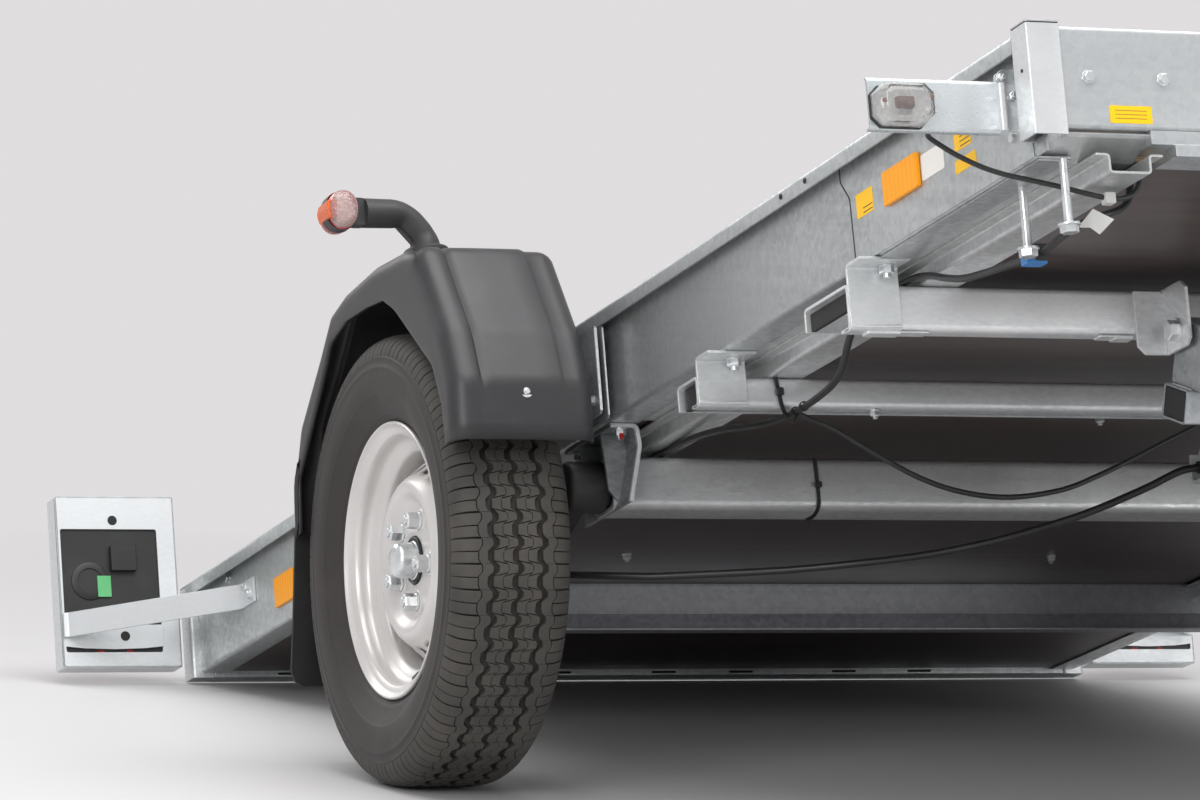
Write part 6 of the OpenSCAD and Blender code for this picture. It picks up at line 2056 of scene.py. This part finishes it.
def makeJockey():
    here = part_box("jockey_wheel")
    axle = (Vector(here[0]) + Vector(here[1])) / 2
    z = (barPlace.inverted() @ axle).z
    x, y, r = jockeySet["x"], jockeySet["y"], jockeySet["radius"]
    fork = z + r + 0.025
    upright = turnedAt(barPlace, (x, y, 0), -90, "Y")
    low, top = barSet["low"], barSet["top"]
    band = [(low + 0.01, 0.0242), (low + 0.01, 0.0305), (low + 0.0115, 0.032),
        (top - 0.0115, 0.032), (top - 0.01, 0.0305), (top - 0.01, 0.0242)]
    onBar("jockey_clamp_band", "hotDip", revolved, band, 48, upright, closed=True,
        nodes=["jockey_clamp"])
    for i, side in enumerate((-1, 1)):
        onBar("jockey_clamp_ear_" + str(i), "hotDip", boxPiece, (0.0405, y + side * 0.018 - 0.0035),
            (0.056, y + side * 0.018 + 0.0035), 0.002, "z", low + 0.01, top - 0.01, barPlace,
            bevel=0.001)
    onBar("jockey_clamp_pad", "hotDip", boxPiece, (0.04, y - 0.025), (0.045, y + 0.025), 0.002, "z",
        low + 0.01, top - 0.01, barPlace, bevel=0.001)
    spots = [((0.045, y + s * 0.0205, zz), (1, 0, 0), 20) for s in (-1, 1)
        for zz in (low + 0.018, top - 0.018)]
    fasten("jockey_clamp_bolts", "hexBolt", spots, barPlace, "drawbar", size=0.7)
    tube = [(fork - 0.001, 0.0), (fork - 0.001, 0.0235), (fork, jockeySet["tube"]),
        (0.294, jockeySet["tube"]), (0.296, 0.0232), (0.296, 0.0215), (0.3, 0.021), (0.3, 0.0145),
        (0.324, 0.0138), (0.3295, 0.0125), (0.33, 0.0)]
    onBar("jockey_leg_tube", "bar", revolved, tube, 48, upright, nodes=["jockey_leg"])
    collar = [(fork + 0.02, 0.024), (fork + 0.02, 0.0243), (fork + 0.0215, 0.0246),
        (fork + 0.03, 0.0246), (fork + 0.0315, 0.0243), (fork + 0.0315, 0.024)]
    onBar("jockey_leg_collar", "hotDip", revolved, collar, 48, upright)
    cap = [(0.288, 0.0245), (0.288, 0.0252), (0.3, 0.0252), (0.303, 0.0235), (0.3036, 0.015)]
    onBar("jockey_leg_cap", "black", revolved, cap, 48, upright)
    onBar("jockey_crank", "zinc", lofted, [(y + level,
        [(x + p.x, p.y) for p in boxOutline((-0.0078, 0.3225), (0.0078, 0.3335), 0.004, 4)])
        for level in (-0.0095, 0.05, 0.1095)], barPlace)
    knob = turnedAt(barPlace, (x, y + 0.1, 0), -90, "Y")
    grip = [(0.334, 0.0), (0.334, 0.0095), (0.34, 0.0108), (0.365, 0.0118), (0.395, 0.0114),
        (0.413, 0.0108), (0.4205, 0.0085), (0.4235, 0.0)]
    onBar("jockey_grip", "black", revolved, grip, 32, knob)
    yoke = [(x - 0.0295, z - 0.016), (x - 0.0295, fork - 0.003), (x + 0.0295, fork - 0.003),
        (x + 0.0295, z - 0.016)]
    path = roundCorners(yoke, 0.01, 5)
    outline = offsetLine(path, -0.002) + list(reversed(offsetLine(path, 0.002)))
    onBar("jockey_fork", "hotDip", extruded, flat(outline), "y", y - 0.016, y + 0.016, barPlace,
        bevel=0.001)
    pin = barPlace @ Matrix.Translation((x, y, z))
    rod = [(-0.0358, 0.0), (-0.0358, 0.005), (-0.0345, 0.0078), (0.0345, 0.0078), (0.0358, 0.005),
        (0.0358, 0.0)]
    onBar("jockey_axle", "zinc", revolved, rod, 28, pin)
    tyre = [(-0.0225, 0.07), (-0.0238, 0.077), (-0.0238, 0.09), (-0.0205, 0.096), (-0.013, 0.099),
        (-0.0045, r), (-0.004, 0.0975), (0.004, 0.0975), (0.0045, r), (0.013, 0.099),
        (0.0205, 0.096), (0.0238, 0.09), (0.0238, 0.077), (0.0225, 0.07)]
    onBar("jockey_tyre", "rubber", revolved, tyre, 72, pin, closed=True, nodes=["jockey_wheel"])
    rim = [(-0.0232, 0.009), (-0.0232, 0.018), (-0.019, 0.02), (-0.008, 0.023), (-0.007, 0.05),
        (-0.012, 0.059), (-0.0215, 0.064), (-0.022, 0.0705), (0.022, 0.0705), (0.0215, 0.064),
        (0.012, 0.059), (0.007, 0.05), (0.008, 0.023), (0.019, 0.02), (0.0232, 0.018),
        (0.0232, 0.009)]
    onBar("jockey_rim", "rimGrey", revolved, rim, 72, pin, closed=True)
    points, faces = joined(*(([(lx, ly, lz) for lx in (a, b)
        for ly, lz in ((0.0215, -0.0015), (0.06, -0.0015), (0.06, 0.0015), (0.0215, 0.0015))],
        ringFaces(2, 4)) for a, b in ((-0.02, -0.0072), (0.0072, 0.02))))
    onBar("jockey_rim_ribs", "rimGrey", ringPiece, points, faces, 8, 0.2, pin, smooth=30)


for side in sides:
    makeDrawbarArm(side)
makeDrawbarFront()
makeCoupling()
makeJockey()
print("drawbar stands")


# A CAD node's copy with its triangles merged, its edges broken, and a finish.
nodeMergeDistance = 0.00002


def polishedNode(node, body, material, bevel=0.0006, segments=1):
    source = frame["nodes"][node].data
    bm = bmesh.new()
    bm.from_mesh(source)
    bmesh.ops.remove_doubles(bm, verts=bm.verts, dist=nodeMergeDistance)
    bmesh.ops.dissolve_limit(bm, angle_limit=math.radians(1), verts=bm.verts, edges=bm.edges)
    mesh = bpy.data.meshes.new(node + "_part")
    bm.to_mesh(mesh)
    bm.free()
    mesh.materials.clear()
    mesh.materials.append(material)
    for polygon in mesh.polygons:
        polygon.material_index = 0
    smoothByAngle(mesh, 30)
    obj = newObject(node + "_part", mesh)
    addBevel(obj, bevel, segments)
    return dress(obj, body, [node])


# Nodes that are kept as the CAD drew them, with their finish and slot.
keptFinish = {"front_profile": ("board", "galvanised_sheet")}
for node, obj in frame["nodes"].items():
    if not obj.hide_render:
        look, slot = keptFinish.get(node, ("hotDip", "hot_dip_steel"))
        polishedNode(node, obj["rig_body"], finish[look])
        print("kept node", node)

studio = {"floorColour": (0.62, 0.61, 0.615), "backColour": (0.745, 0.725, 0.735),
    "worldColour": (0.8, 0.8, 0.81), "worldLight": 0.78, "floorSize": 60, "fadeFrom": 2.2,
    "fadeTo": 5.8, "roughness": 0.55, "cloudShade": 0.94}


def makeStudio():
    world = bpy.data.worlds.new("studioWorld")
    world.use_nodes = True
    bpy.context.scene.world = world
    tree = world.node_tree
    tree.nodes.clear()
    light = addNode(tree, "ShaderNodeBackground", {"Color": (*studio["worldColour"], 1),
        "Strength": studio["worldLight"]})
    seen = addNode(tree, "ShaderNodeBackground", {"Color": (*studio["backColour"], 1),
        "Strength": 1.0})
    path = addNode(tree, "ShaderNodeLightPath")
    isSeen = maths(tree, "MAXIMUM", path.outputs["Is Camera Ray"],
        path.outputs["Is Transmission Ray"])
    mix = addNode(tree, "ShaderNodeMixShader", {0: isSeen, 1: light.outputs[0], 2: seen.outputs[0]})
    out = addNode(tree, "ShaderNodeOutputWorld")
    tree.links.new(mix.outputs[0], out.inputs[0])

    half = studio["floorSize"] / 2
    mesh = bpy.data.meshes.new("studioFloor")
    mesh.from_pydata([(-half, -half, 0), (half, -half, 0), (half, half, 0), (-half, half, 0)], [],
        [(0, 1, 2, 3)])
    floor = newObject("studioFloor", mesh)
    material, tree, shader = newMaterial("studioFloor")
    coords = addNode(tree, "ShaderNodeTexCoord").outputs["Object"]
    away = addNode(tree, "ShaderNodeVectorMath", {0: coords}, operation="LENGTH").outputs["Value"]
    fade = ramp(tree, away, studio["fadeFrom"], studio["fadeTo"])
    cloud = noise(tree, coords, 1.5, 3.0)
    lower = tuple(c * studio["cloudShade"] for c in studio["floorColour"])
    fill(tree, shader, {"Base Color": mixColour(tree, cloud, lower, studio["floorColour"]),
        "Roughness": studio["roughness"]})
    glow = addNode(tree, "ShaderNodeEmission", {"Color": (*studio["backColour"], 1),
        "Strength": 1.0})
    path = addNode(tree, "ShaderNodeLightPath")
    isSeen = maths(tree, "MAXIMUM", path.outputs["Is Camera Ray"], path.outputs["Is Glossy Ray"])
    amount = maths(tree, "MULTIPLY", fade, isSeen)
    mix = addNode(tree, "ShaderNodeMixShader", {0: amount, 1: shader.outputs[0],
        2: glow.outputs[0]})
    tree.links.new(mix.outputs[0], tree.nodes["Material Output"].inputs[0])
    mesh.materials.append(material)


lamps = {
    "top": {"place": (-0.6, -0.4, 4.2), "target": (0, 0.3, 0), "size": 4.0, "power": 190},
    "frontLeft": {"place": (-4.5, -4.2, 2.6), "target": (-0.6, 0.3, 0.4), "size": 2.2,
        "power": 130},
    "frontRight": {"place": (4.0, -4.5, 1.6), "target": (0.2, 0, 0.4), "size": 2.4, "power": 75},
    "rear": {"place": (-2.5, 5.0, 3.0), "target": (0, 0.5, 0.3), "size": 2.4, "power": 60},
}


def makeLamps():
    for name, facts in lamps.items():
        data = bpy.data.lights.new(name + "Lamp", "AREA")
        data.size = facts["size"]
        data.energy = facts["power"]
        lamp = newObject(name + "Lamp", data)
        aim = Vector(facts["target"]) - Vector(facts["place"])
        lamp.matrix_world = Matrix.Translation(facts["place"]) @ aim.to_track_quat("-Z",
            "Y").to_matrix().to_4x4()


makeStudio()
makeLamps()
bpy.context.scene.view_settings.view_transform = "Standard"
print("studio lit")
